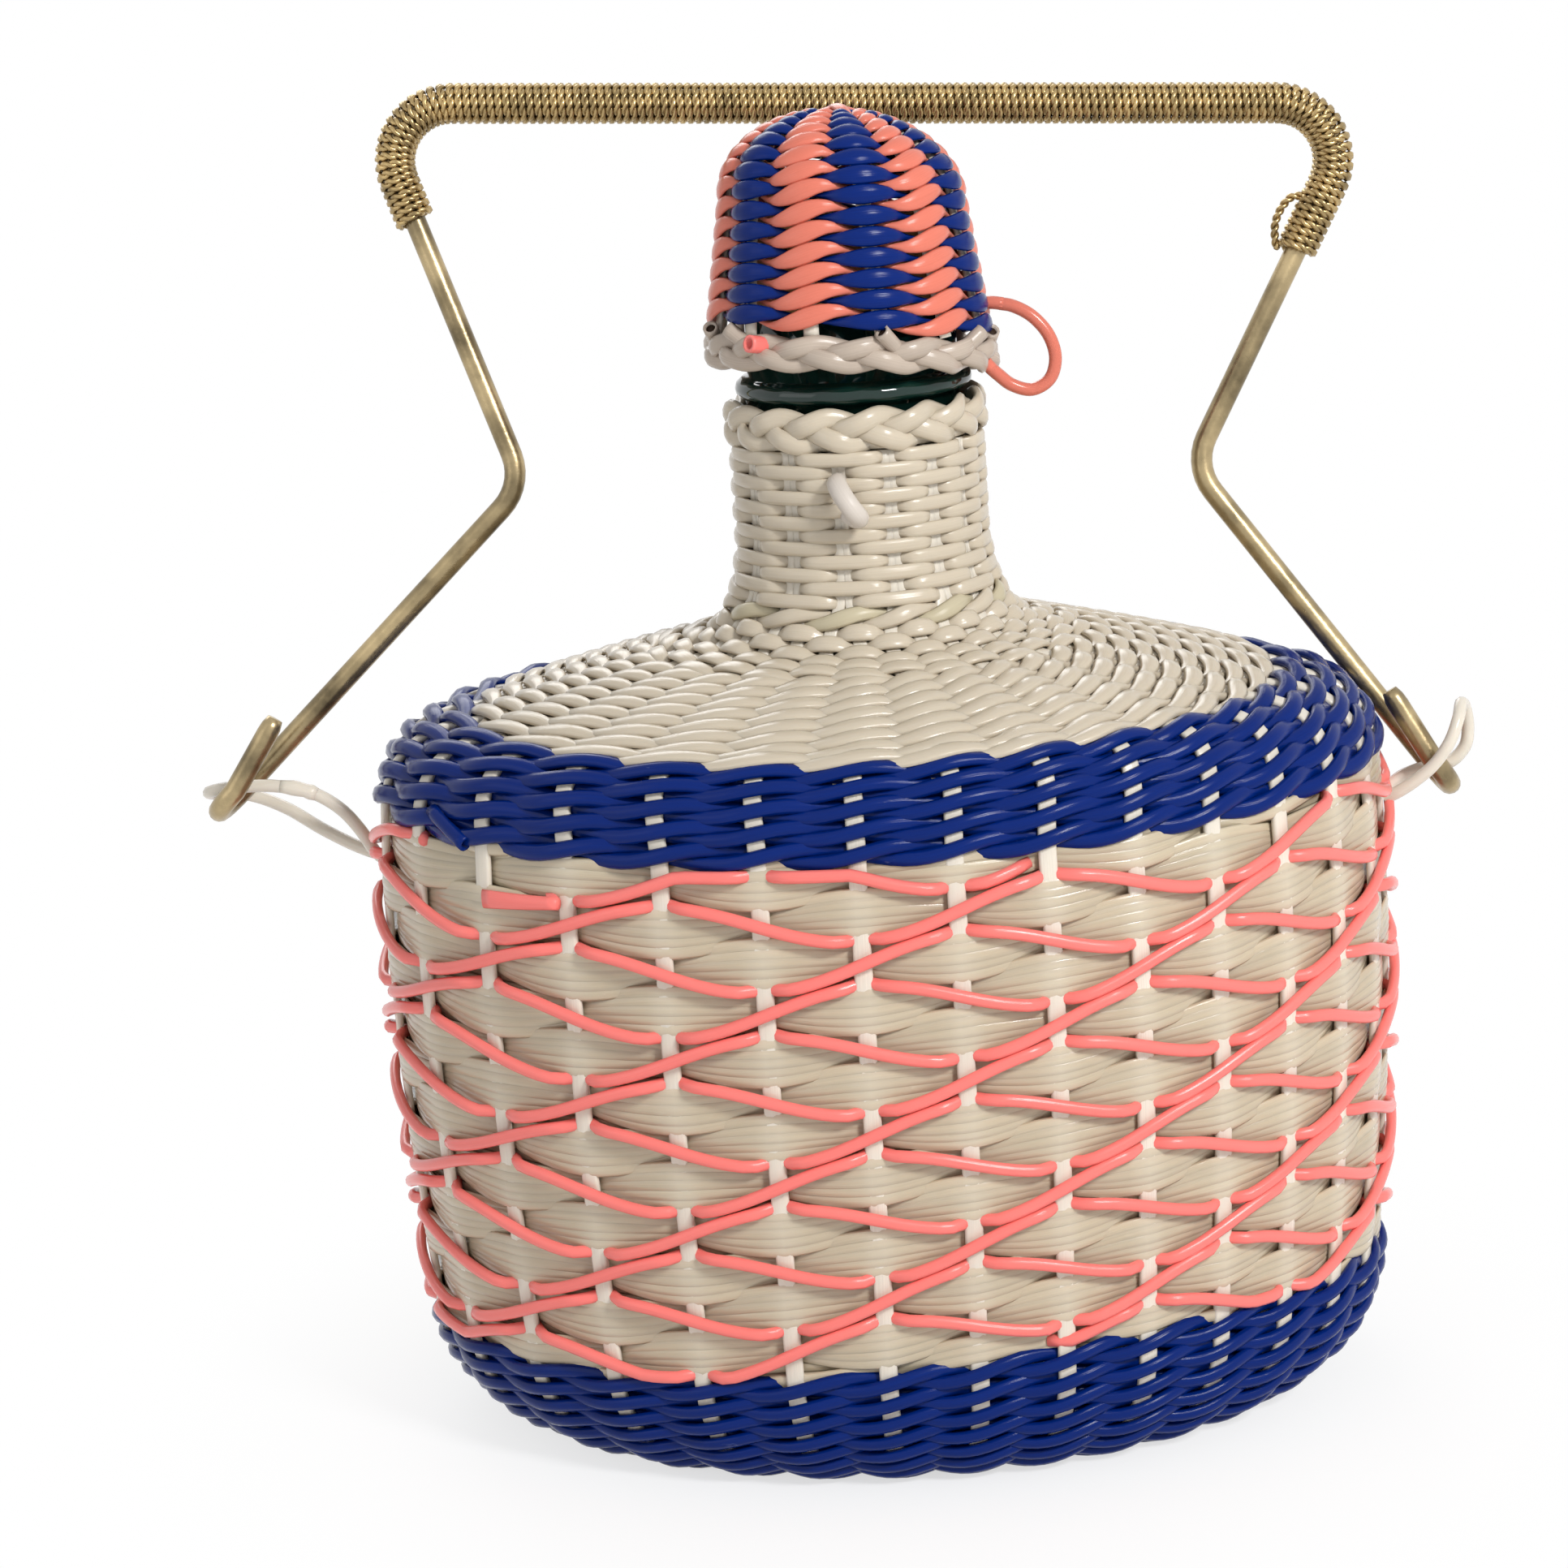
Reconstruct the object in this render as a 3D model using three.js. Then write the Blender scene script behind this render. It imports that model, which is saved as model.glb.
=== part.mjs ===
// Oval glass bottle in a woven cover of hollow plastic cord, with a cork stopper
// under a woven hood and a wire bail whose grip is wound with cord.
// Millimetres, +Z up, the front faces -Y, origin at the centre of the flat underside.

import * as THREE from 'three';

// Outside of the woven body
const BODY_WIDTH = 196;
const BODY_DEPTH = 138;
const FOOT_WIDTH = 140;
const FOOT_DEPTH = 108;
const WALL_FOOT_WIDTH = 190;
const WALL_FOOT_DEPTH = 135;
const WALL_FOOT_Z = 25;
const WALL_TOP_Z = 121;
const WALL_SWELL = 3.5;
const BAND_TOP_WIDTH = 154;
const BAND_TOP_DEPTH = 120;
const BAND_TOP_Z = 141.5;
const SHOULDER_TOP_RADIUS = 33;
const SHOULDER_TOP_Z = 152.5;
const NECK_RADIUS = 24.5;
const NECK_FOOT_Z = 170;
const NECK_TOP_Z = 188.4;

// Layers of the cover and the glass under it
const GAP = 0.3;
const CORD_THICKNESS = 2.4;
const STAKE_COUNT = 29;
const STAKE_WIDTH = 3.2;
const STAKE_THICKNESS = 1.6;
const STAKE_PHASE = -0.02;
const STAKE_DRIFT = 0.62;
const STAKE_DRIFT_FROM = 20.3;
const GLASS_WALL = 3;
const BAND_LOBE = 1.3;

// Coral strands that spiral up the wall side by side
const CORAL_THICKNESS = 1.1;
const CORAL_HEIGHT = 2.2;
const CORAL_MARGIN = 2;
const CORAL_STRANDS = 3;
const CORAL_TURNS = 4;
const CORAL_START = 21;

// Plaited collar and the bottle's mouth
const COLLAR_RADIUS = 25.3;
const COLLAR_HEIGHT = 8;
const BEAD_RADIUS = 22.4;
const BEAD_HEIGHT = 4;
const MOUTH_HEIGHT = 12.5;
const LIP_ROUND = 1.2;

// Cork stopper
const CORK_PLUG_DEPTH = 24;
const CORK_PLUG_TAPER = 0.8;
const CORK_HEAD_HEIGHT = 15.7;
const CORK_CLEARANCE = 0.4;
const CORK_CHAMFER = 1.5;

// Woven hood over the cork
const RIM_RADIUS = 28.35;
const RIM_WIDTH = 5;
const RIM_HEIGHT = 6;
const HOOD_FOOT_RADIUS = 27.5;
const HOOD_WAIST_RADIUS = 23.5;
const HOOD_WAIST_RISE = 25.3;
const HOOD_DOME_RISE = 17;
const HOOD_WALL = 2.5;
const HOOD_LOBE = 1.1;
const HOOD_STAKES = 12;

// Wire bail, drawn upright in its own frame with its hinge line on X
const ROD_RADIUS = 2.1;
const BAIL_HEIGHT = 130;
const BAIL_CORNER_X = 97;
const BAIL_BAR_SHIFT = 3.3;
const BAIL_BAR_DROP = 2.9;
const BAIL_CORNER_ROUND = 11;
const BAIL_BEND_X = 65.3;
const BAIL_BEND_Z = 58;
const BAIL_BEND_ROUND = 10;
const HOOK_RADIUS = 6;
const HOOK_RETURN = 16;
const HOOK_RETURN_LEAN = THREE.MathUtils.degToRad(31);
const HOOK_REACH_LEFT = 24;
const HOOK_REACH_RIGHT = 11.5;
const HINGE_Y = 6;
const HINGE_Z = 121.2;
const BAIL_SHIFT = -2.5;
const BAIL_TILT = THREE.MathUtils.degToRad(1.7);
const BAIL_CAP_CLEARANCE = 2;

// Cord wound on the grip
const WINDING_LOOPS = 22;
const WINDING_CLEARANCE = 0.45;
const WINDING_THICKNESS = 1.6;
const WINDING_SPACE = 0.9;
const WINDING_CHAMFER = 0.5;
const WINDING_DROP_LEFT = 9;
const WINDING_DROP_RIGHT = 15;

// Loose cords
const LOOP_RADIUS = 1.25;
const TAB_RADIUS = 1.5;

// Facets
const CORNER_STEPS = 4;
const BAND_STEPS = 4;
const ROUND_SEGMENTS = 24;
const ROD_SIDES = 8;
const ARC_STEPS = 7;
const CORD_SIDES = 8;
const WINDING_STEPS = 14;
const DOME_STEPS = 5;
const DOME_CUT = 0.94;
const QUARTER_ARC = 0.5523;

const COLOURS = {
  glass: [0x0f2d23, 0.08, 0],
  cream: [0xded2b8, 0.4, 0],
  beige: [0xc6b79a, 0.35, 0],
  white: [0xebe4d7, 0.4, 0],
  blue: [0x06297f, 0.3, 0],
  coral: [0xfb8078, 0.35, 0],
  cork: [0xa9794a, 0.9, 0],
  brass: [0x9c8350, 0.3, 1],
  gold: [0xa58b55, 0.6, 0.3],
};

const bottle = new THREE.Group();

function addPiece(parent, name, geometry, finish) {
  const [color, roughness, metalness] = COLOURS[finish];
  const mesh = new THREE.Mesh(geometry, new THREE.MeshStandardMaterial({ color, roughness, metalness }));
  mesh.name = name;
  parent.add(mesh);
  return mesh;
}

// Solids lofted through rings of points

function signedVolume(points, faces) {
  let sum = 0;
  for (let f = 0; f < faces.length; f += 3) {
    const [a, b, c] = [points[faces[f]], points[faces[f + 1]], points[faces[f + 2]]];
    sum += a.dot(b.clone().cross(c));
  }
  return sum / 6;
}

function solidFrom(points, faces) {
  const outward = signedVolume(points, faces) > 0 ? faces : faces.toReversed();
  const geometry = new THREE.BufferGeometry().setFromPoints(points);
  geometry.setIndex(outward);
  geometry.computeVertexNormals();
  return geometry;
}

function ringFaces(rings, closed) {
  const around = rings[0].length;
  const faces = [];
  const pairs = closed ? rings.length : rings.length - 1;
  for (let i = 0; i < pairs; i += 1) {
    const low = i * around;
    const high = ((i + 1) % rings.length) * around;
    for (let j = 0; j < around; j += 1) {
      const next = (j + 1) % around;
      faces.push(low + j, low + next, high + next, low + j, high + next, high + j);
    }
  }
  return faces;
}

function loftClosed(rings) {
  return solidFrom(rings.flat(), ringFaces(rings, true));
}

function centreOf(ring) {
  const sum = ring.reduce((total, point) => total.add(point), new THREE.Vector3());
  return sum.divideScalar(ring.length);
}

function loftCapped(rings) {
  const around = rings[0].length;
  const points = rings.flat();
  const faces = ringFaces(rings, false);
  const first = points.length;
  const last = first + 1;
  const lastRing = (rings.length - 1) * around;
  points.push(centreOf(rings[0]), centreOf(rings.at(-1)));
  for (let j = 0; j < around; j += 1) {
    const next = (j + 1) % around;
    faces.push(first, next, j, last, lastRing + j, lastRing + next);
  }
  return solidFrom(points, faces);
}

// Tubes along a route of points

class Route extends THREE.Curve {
  constructor(points) {
    super();
    this.points = points;
  }

  getPointAt(u, target = new THREE.Vector3()) {
    return target.copy(this.points[Math.round(u * (this.points.length - 1))]);
  }

  getTangentAt(u, target = new THREE.Vector3()) {
    const last = this.points.length - 1;
    const here = Math.round(u * last);
    const ahead = this.points[Math.min(here + 1, last)];
    const behind = this.points[Math.max(here - 1, 0)];
    return target.subVectors(ahead, behind).normalize();
  }
}

function tube(points, radius, sides) {
  const section = new THREE.Shape();
  section.absarc(0, 0, radius, 0, 2 * Math.PI, false);
  const outline = new THREE.Shape(section.getPoints(sides).slice(0, sides));
  return new THREE.ExtrudeGeometry(outline, {
    steps: points.length - 1,
    bevelEnabled: false,
    extrudePath: new Route(points),
  });
}

function cordTube(points, radius, steps) {
  const route = points.map((point) => new THREE.Vector3(...point));
  const curve = new THREE.CatmullRomCurve3(route, false, 'centripetal');
  return tube(curve.getSpacedPoints(steps), radius, CORD_SIDES);
}

function roundSolid(profile, segments = ROUND_SEGMENTS) {
  const points = profile.map(([radius, z]) => new THREE.Vector2(radius, z));
  return new THREE.LatheGeometry(points, segments).rotateX(Math.PI / 2);
}

// The body's outline: stations of half width, half depth and height

const foot = new THREE.Vector3(FOOT_WIDTH / 2, FOOT_DEPTH / 2, 0);
const wallFoot = new THREE.Vector3(WALL_FOOT_WIDTH / 2, WALL_FOOT_DEPTH / 2, WALL_FOOT_Z);
const wallTop = new THREE.Vector3(BODY_WIDTH / 2, BODY_DEPTH / 2, WALL_TOP_Z);
const bandTop = new THREE.Vector3(BAND_TOP_WIDTH / 2, BAND_TOP_DEPTH / 2, BAND_TOP_Z);
const shoulderTop = new THREE.Vector3(SHOULDER_TOP_RADIUS, SHOULDER_TOP_RADIUS, SHOULDER_TOP_Z);
const neckFoot = new THREE.Vector3(NECK_RADIUS, NECK_RADIUS, NECK_FOOT_Z);
const neckTop = new THREE.Vector3(NECK_RADIUS, NECK_RADIUS, NECK_TOP_Z);

function between(start, end, share, heightShare) {
  const point = start.clone().lerp(end, share);
  point.z = THREE.MathUtils.lerp(start.z, end.z, heightShare);
  return point;
}

const swell = new THREE.Vector3(WALL_SWELL, WALL_SWELL, 0);
const cornerLine = new THREE.CubicBezierCurve3(
  foot,
  between(foot, wallFoot, QUARTER_ARC, 0),
  between(foot, wallFoot, 1, 1 - QUARTER_ARC),
  wallFoot,
).getPoints(CORNER_STEPS);
const wallLine = new THREE.QuadraticBezierCurve3(
  wallFoot,
  between(wallFoot, wallTop, 0.6, 0.6).add(swell),
  wallTop,
).getPoints(2);
const bandLine = new THREE.CubicBezierCurve3(
  wallTop,
  between(wallTop, bandTop, 0, 0.65),
  between(wallTop, bandTop, 0.42, 0.98),
  bandTop,
).getPoints(BAND_STEPS);
const shoulderLine = new THREE.LineCurve3(bandTop, shoulderTop).getPoints(1);
const filletLine = new THREE.QuadraticBezierCurve3(
  shoulderTop,
  between(shoulderTop, neckFoot, 0.85, 0.16),
  neckFoot,
).getPoints(2);
const neckLine = [neckFoot, neckTop];
const outline = [cornerLine, wallLine, bandLine, shoulderLine, filletLine, neckLine]
  .flatMap((line, index) => (index === 0 ? line : line.slice(1)));

function meanRadius(station) {
  return (station.x + station.y) / 2;
}

// Outward slope of the outline at a station, as its radial and upright shares
function slopeAt(station) {
  const nearest = outline.reduce((best, other, index) => {
    return other.distanceTo(station) < outline[best].distanceTo(station) ? index : best;
  }, 0);
  if (nearest === 0) {
    return [0, -1];
  }
  const ahead = outline[Math.min(nearest + 1, outline.length - 1)];
  const behind = outline[nearest - 1];
  const rise = ahead.z - behind.z;
  const run = meanRadius(ahead) - meanRadius(behind);
  const length = Math.hypot(rise, run);
  return [rise / length, -run / length];
}

function sunk(station, depth) {
  const [radial, upright] = slopeAt(station);
  const shift = new THREE.Vector3(radial, radial, upright).multiplyScalar(-depth);
  return station.clone().add(shift);
}

// Places round the body: along the wall's oval, then by angle at the neck, with the drift of hand work

const oval = new THREE.EllipseCurve(0, 0, BODY_WIDTH / 2, BODY_DEPTH / 2);
oval.arcLengthDivisions = 2000;

function angleAt(place, z) {
  const drift = STAKE_DRIFT * Math.cos((2 * Math.PI * (place - STAKE_DRIFT_FROM)) / STAKE_COUNT);
  const share = THREE.MathUtils.euclideanModulo((place + STAKE_PHASE + drift) / STAKE_COUNT, 1);
  const point = oval.getPointAt(share);
  const turn = Math.atan2(point.y / BODY_DEPTH, point.x / BODY_WIDTH);
  const onOval = THREE.MathUtils.euclideanModulo(turn, 2 * Math.PI);
  const roundness = THREE.MathUtils.smoothstep(z, WALL_TOP_Z, SHOULDER_TOP_Z);
  return THREE.MathUtils.lerp(onOval, 2 * Math.PI * share, roundness);
}

function surfacePoint(place, station, depth) {
  const at = sunk(station, depth);
  const angle = angleAt(place, station.z);
  return new THREE.Vector3(at.x * Math.cos(angle), at.y * Math.sin(angle), at.z);
}

function bodyRing(station, depth) {
  return Array.from({ length: STAKE_COUNT }, (_, stake) => surfacePoint(stake + 0.5, station, depth));
}

// Ring with a corner at each stake and one between, which lies deeper by the lobe
function lobedRing(station, depth, lobe) {
  return Array.from({ length: 2 * STAKE_COUNT }, (_, corner) => {
    return surfacePoint(corner / 2, station, corner % 2 === 0 ? depth : depth + lobe);
  });
}

function roundRing(radius, z) {
  return Array.from({ length: STAKE_COUNT }, (_, stake) => {
    const angle = angleAt(stake + 0.5, SHOULDER_TOP_Z);
    return new THREE.Vector3(radius * Math.cos(angle), radius * Math.sin(angle), z);
  });
}

// Draws a stretch's two ends in, so that neighbouring shells stand clear of each other
function trimmed(line) {
  const drawIn = (end, inner) => end.clone().lerp(inner, GAP / 2 / end.distanceTo(inner));
  return [drawIn(line[0], line[1]), ...line.slice(1, -1), drawIn(line.at(-1), line.at(-2))];
}

function shell(line, outerDepth, innerDepth) {
  const stations = trimmed(line);
  const outer = stations.map((station) => bodyRing(station, outerDepth));
  const inner = stations.map((station) => bodyRing(station, innerDepth));
  return loftClosed([...outer, ...inner.reverse()]);
}

// Shell whose outside bulges at every stake, where a strand passes in front
function lobedShell(line, innerDepth) {
  const stations = trimmed(line);
  const outer = stations.map((station) => lobedRing(station, 0, BAND_LOBE));
  const inner = stations.map((station) => lobedRing(station, innerDepth, 0));
  return loftClosed([...outer, ...inner.reverse()]);
}

const STAKE_OUTER = CORD_THICKNESS + GAP;
const STAKE_INNER = STAKE_OUTER + STAKE_THICKNESS;
const GLASS_OUTER = STAKE_INNER + GAP;
const GLASS_INNER = GLASS_OUTER + GLASS_WALL;
const WALL_OUTER = CORAL_THICKNESS + GAP;

// Glass bottle, with a bead and a lip above the collar

const glassNeckRadius = NECK_RADIUS - GLASS_OUTER;
const boreRadius = NECK_RADIUS - GLASS_INNER;
const collarTop = NECK_TOP_Z + GAP + COLLAR_HEIGHT;
const beadBottom = collarTop + GAP;
const beadTop = beadBottom + BEAD_HEIGHT;
const beadRound = BEAD_RADIUS - glassNeckRadius;
const lipTop = beadTop + MOUTH_HEIGHT;

function glassBottle() {
  const mouth = [
    roundRing(glassNeckRadius, beadBottom),
    roundRing(BEAD_RADIUS, beadBottom + beadRound / 2),
    roundRing(BEAD_RADIUS, beadTop - beadRound),
    roundRing(glassNeckRadius, beadTop),
    roundRing(glassNeckRadius, lipTop - LIP_ROUND),
    roundRing(glassNeckRadius - LIP_ROUND, lipTop),
    roundRing(boreRadius, lipTop),
  ];
  const outside = outline.map((station) => bodyRing(station, GLASS_OUTER));
  const inside = outline.map((station) => bodyRing(station, GLASS_INNER));
  return loftCapped([...outside, ...mouth, ...inside.reverse()]);
}

addPiece(bottle, 'glass_bottle', glassBottle(), 'glass');

// Woven cover: a flat mat under the base, then one shell for each band of weave

const matEdge = foot.clone().subScalar(GAP).setZ(0);

function ovalRing(station, z) {
  return bodyRing(station, 0).map((point) => point.setZ(z));
}

addPiece(bottle, 'base_mat', loftCapped([ovalRing(matEdge, 0), ovalRing(matEdge, STAKE_INNER)]), 'blue');
addPiece(bottle, 'base_band', shell(cornerLine, 0, CORD_THICKNESS), 'blue');
addPiece(bottle, 'wall_weave', shell(wallLine, WALL_OUTER, CORD_THICKNESS), 'beige');
addPiece(bottle, 'shoulder_band', lobedShell(bandLine, CORD_THICKNESS), 'blue');
addPiece(bottle, 'shoulder_weave', shell(shoulderLine, 0, CORD_THICKNESS), 'cream');
addPiece(bottle, 'neck_weave', shell([...filletLine, neckTop], 0, CORD_THICKNESS), 'cream');

const collarInner = glassNeckRadius + GAP;
const collarFoot = NECK_TOP_Z + GAP;
const collarRound = (COLLAR_RADIUS - collarInner) / 3;
addPiece(bottle, 'neck_collar', roundSolid([
  [collarInner, collarFoot],
  [COLLAR_RADIUS - collarRound, collarFoot],
  [COLLAR_RADIUS, collarFoot + collarRound],
  [COLLAR_RADIUS, collarTop - collarRound],
  [COLLAR_RADIUS - collarRound, collarTop],
  [collarInner, collarTop],
  [collarInner, collarFoot],
]), 'cream');

// Upright stakes between the glass and the weave, from the mat to the collar

function stake(index) {
  const rings = outline.map((station) => {
    const section = [];
    const corners = [[STAKE_INNER, -1], [STAKE_OUTER, -1], [STAKE_OUTER, 1], [STAKE_INNER, 1]];
    for (const [depth, side] of corners) {
      const start = surfacePoint(index - 0.5, station, depth);
      const end = surfacePoint(index + 0.5, station, depth);
      const across = end.clone().sub(start).normalize();
      section.push(start.lerp(end, 0.5).addScaledVector(across, (side * STAKE_WIDTH) / 2));
    }
    return section;
  });
  return loftCapped(rings);
}

for (let index = 0; index < STAKE_COUNT; index += 1) {
  addPiece(bottle, `stake_${String(index + 1).padStart(2, '0')}`, stake(index), 'white');
}

// Coral strands, a third of a turn apart, each climbing the wall in a few turns

const coralFoot = WALL_FOOT_Z + CORAL_MARGIN;
const coralRise = WALL_TOP_Z - CORAL_MARGIN - coralFoot;

function wallStation(z) {
  const upper = Math.max(1, wallLine.findIndex((station) => station.z >= z));
  const low = wallLine[upper - 1];
  const high = wallLine[upper];
  return low.clone().lerp(high, (z - low.z) / (high.z - low.z));
}

function wallPoint(place, z, depth) {
  const station = wallStation(z);
  const angle = angleAt(place, z);
  return new THREE.Vector3((station.x - depth) * Math.cos(angle), (station.y - depth) * Math.sin(angle), z);
}

function coralStrand(index) {
  const steps = CORAL_TURNS * STAKE_COUNT;
  const start = Math.round(CORAL_START + (index * STAKE_COUNT) / CORAL_STRANDS) + 0.5;
  const rings = [];
  for (let step = 0; step <= steps; step += 1) {
    const place = start + step;
    const z = coralFoot + (coralRise * step) / steps;
    const low = z - CORAL_HEIGHT / 2;
    const high = z + CORAL_HEIGHT / 2;
    rings.push([
      wallPoint(place, low, CORAL_THICKNESS),
      wallPoint(place, low, 0),
      wallPoint(place, high, 0),
      wallPoint(place, high, CORAL_THICKNESS),
    ]);
  }
  return loftCapped(rings);
}

for (let index = 0; index < CORAL_STRANDS; index += 1) {
  addPiece(bottle, `coral_strand_${index + 1}`, coralStrand(index), 'coral');
}

// Short end of cord that stands off the front of the neck
const TAB_ROUTE = [
  [-5.2, -25.0, 182.0],
  [-4.9, -27.0, 181.4],
  [-3.6, -28.6, 179.7],
  [-1.8, -29.1, 177.6],
  [-0.2, -28.6, 175.8],
  [0.7, -27.3, 174.9],
  [0.9, -25.6, 174.6],
];
addPiece(bottle, 'neck_tab', cordTube(TAB_ROUTE, TAB_RADIUS, 9), 'cream');

// Cork stopper and the woven hood that sits on its head

const hoodFoot = beadTop + GAP + RIM_HEIGHT + GAP;
const hoodWaist = hoodFoot + HOOD_WAIST_RISE;
const corkHeadTop = lipTop + GAP + CORK_HEAD_HEIGHT;

function hoodInnerRadius(z) {
  const share = (z - hoodFoot) / HOOD_WAIST_RISE;
  return THREE.MathUtils.lerp(HOOD_FOOT_RADIUS, HOOD_WAIST_RADIUS, share) - HOOD_WALL;
}

function corkStopper() {
  const plugRadius = boreRadius - CORK_CLEARANCE;
  const plugBottom = lipTop - CORK_PLUG_DEPTH;
  const headRadius = hoodInnerRadius(corkHeadTop) - GAP;
  const headFoot = lipTop + GAP;
  return roundSolid([
    [0, plugBottom],
    [plugRadius - CORK_PLUG_TAPER - CORK_CHAMFER, plugBottom],
    [plugRadius - CORK_PLUG_TAPER, plugBottom + CORK_CHAMFER],
    [plugRadius, headFoot],
    [headRadius, headFoot],
    [headRadius, corkHeadTop - CORK_CHAMFER],
    [headRadius - CORK_CHAMFER, corkHeadTop],
    [0, corkHeadTop],
  ]);
}

function domeLine(radius, foot, rise) {
  return Array.from({ length: DOME_STEPS }, (_, step) => {
    const angle = ((Math.PI / 2) * DOME_CUT * step) / (DOME_STEPS - 1);
    return [radius * Math.cos(angle), foot + rise * Math.sin(angle)];
  });
}

// Ring with a corner at each of the hood's stakes and one between, drawn in by the lobe
function hoodRing([radius, z], lobe) {
  return Array.from({ length: 2 * HOOD_STAKES }, (_, corner) => {
    const angle = (Math.PI * (corner - 1)) / HOOD_STAKES - Math.PI / 2;
    const drawnIn = corner % 2 === 0 ? 0 : lobe * Math.min(1, radius / HOOD_WAIST_RADIUS);
    const reach = radius - drawnIn;
    return new THREE.Vector3(reach * Math.cos(angle), reach * Math.sin(angle), z);
  });
}

function hoodWeave() {
  const innerWaist = HOOD_WAIST_RADIUS - HOOD_WALL;
  const outerDome = domeLine(HOOD_WAIST_RADIUS, hoodWaist, HOOD_DOME_RISE);
  const innerDome = domeLine(innerWaist, hoodWaist, HOOD_DOME_RISE - HOOD_WALL);
  const outside = [[HOOD_FOOT_RADIUS, hoodFoot], ...outerDome];
  const inside = [[HOOD_FOOT_RADIUS - HOOD_WALL, hoodFoot], ...innerDome];
  const outerRings = outside.map((corner) => hoodRing(corner, HOOD_LOBE));
  const innerRings = inside.map((corner) => hoodRing(corner, 0));
  return loftCapped([...outerRings.reverse(), ...innerRings]);
}

function hoodRim() {
  const rimFoot = beadTop + GAP;
  const rimTop = rimFoot + RIM_HEIGHT;
  const inner = RIM_RADIUS - RIM_WIDTH;
  const round = RIM_HEIGHT / 3;
  return roundSolid([
    [inner, rimFoot],
    [RIM_RADIUS - round, rimFoot],
    [RIM_RADIUS, rimFoot + round],
    [RIM_RADIUS, rimTop - round],
    [RIM_RADIUS - round, rimTop],
    [inner, rimTop],
    [inner, rimFoot],
  ]);
}

addPiece(bottle, 'cork_stopper', corkStopper(), 'cork');
addPiece(bottle, 'hood_weave', hoodWeave(), 'blue');
addPiece(bottle, 'hood_rim', hoodRim(), 'white');

// Coral loop that hangs from the hood's rim
const HOOD_LOOP_ROUTE = [
  [28.4, -2.0, 211.8],
  [30.6, -2.2, 211.3],
  [34.2, -2.6, 209.2],
  [37.2, -3.0, 205.4],
  [38.2, -3.4, 201.0],
  [36.9, -3.8, 197.3],
  [33.5, -4.2, 195.6],
  [29.7, -4.6, 196.8],
  [27.4, -5.0, 198.8],
  [25.9, -5.4, 200.3],
];
addPiece(bottle, 'hood_loop', cordTube(HOOD_LOOP_ROUTE, LOOP_RADIUS, 16), 'coral');

// Wire bail: a return leg, a hook, a splayed leg, a bend, an upright and half the bar on each side

function arcCorner(before, corner, after, radius) {
  const back = before.clone().sub(corner).normalize();
  const on = after.clone().sub(corner).normalize();
  const half = back.angleTo(on) / 2;
  const start = corner.clone().addScaledVector(back, radius / Math.tan(half));
  const centre = corner.clone().addScaledVector(back.clone().add(on).normalize(), radius / Math.sin(half));
  const spoke = start.clone().sub(centre);
  const axis = on.clone().cross(back).normalize().negate();
  return Array.from({ length: ARC_STEPS + 1 }, (_, step) => {
    const turn = ((Math.PI - 2 * half) * step) / ARC_STEPS;
    return spoke.clone().applyAxisAngle(axis.clone().negate(), turn).add(centre);
  });
}

function bailSide(side, reach) {
  const crook = new THREE.Vector3(side * (BODY_WIDTH / 2 + reach), 0, 0);
  const bend = new THREE.Vector3(side * BAIL_BEND_X, HOOK_RADIUS, BAIL_BEND_Z);
  const cornerX = side * BAIL_CORNER_X + BAIL_BAR_SHIFT;
  const corner = new THREE.Vector3(cornerX, HOOK_RADIUS, BAIL_HEIGHT - side * BAIL_BAR_DROP);
  const rear = crook.clone().setY(HOOK_RADIUS);
  const middle = new THREE.Vector3(BAIL_BAR_SHIFT, HOOK_RADIUS, BAIL_HEIGHT);
  const down = rear.clone().sub(bend).normalize();
  const hook = Array.from({ length: ARC_STEPS + 1 }, (_, step) => {
    const turn = Math.PI * (1 - step / ARC_STEPS);
    const across = new THREE.Vector3(0, HOOK_RADIUS * Math.cos(turn), 0);
    return crook.clone().add(across).addScaledVector(down, HOOK_RADIUS * Math.sin(turn));
  });
  const homeward = new THREE.Vector3(-side * Math.sin(HOOK_RETURN_LEAN), 0, Math.cos(HOOK_RETURN_LEAN));
  const tip = hook[0].clone().addScaledVector(homeward, HOOK_RETURN);
  const knee = arcCorner(rear, bend, corner, BAIL_BEND_ROUND);
  const shoulder = arcCorner(bend, corner, middle, BAIL_CORNER_ROUND);
  return { wire: [tip, ...hook, ...knee, ...shoulder], shoulder, upright: knee.at(-1) };
}

const leftSide = bailSide(-1, HOOK_REACH_LEFT);
const rightSide = bailSide(1, HOOK_REACH_RIGHT);
const bail = new THREE.Group();
const wire = [...leftSide.wire, ...rightSide.wire.toReversed()];
addPiece(bail, 'bail_rod', tube(wire, ROD_RADIUS, ROD_SIDES), 'brass');

// Cord wound round the grip, as one flat tube that stands for a few turns of cord side by side

const windingInner = ROD_RADIUS + WINDING_CLEARANCE;
const windingOuter = windingInner + WINDING_THICKNESS;

function gripLine() {
  const towards = (from, to, distance) => from.clone().lerp(to, distance / from.distanceTo(to));
  const leftEnd = towards(leftSide.shoulder[0], leftSide.upright, WINDING_DROP_LEFT);
  const rightEnd = towards(rightSide.shoulder[0], rightSide.upright, WINDING_DROP_RIGHT);
  const points = [leftEnd, ...leftSide.shoulder, ...rightSide.shoulder.toReversed(), rightEnd];
  const path = new THREE.CurvePath();
  for (let index = 1; index < points.length; index += 1) {
    path.add(new THREE.LineCurve3(points[index - 1], points[index]));
  }
  return path;
}

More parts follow.
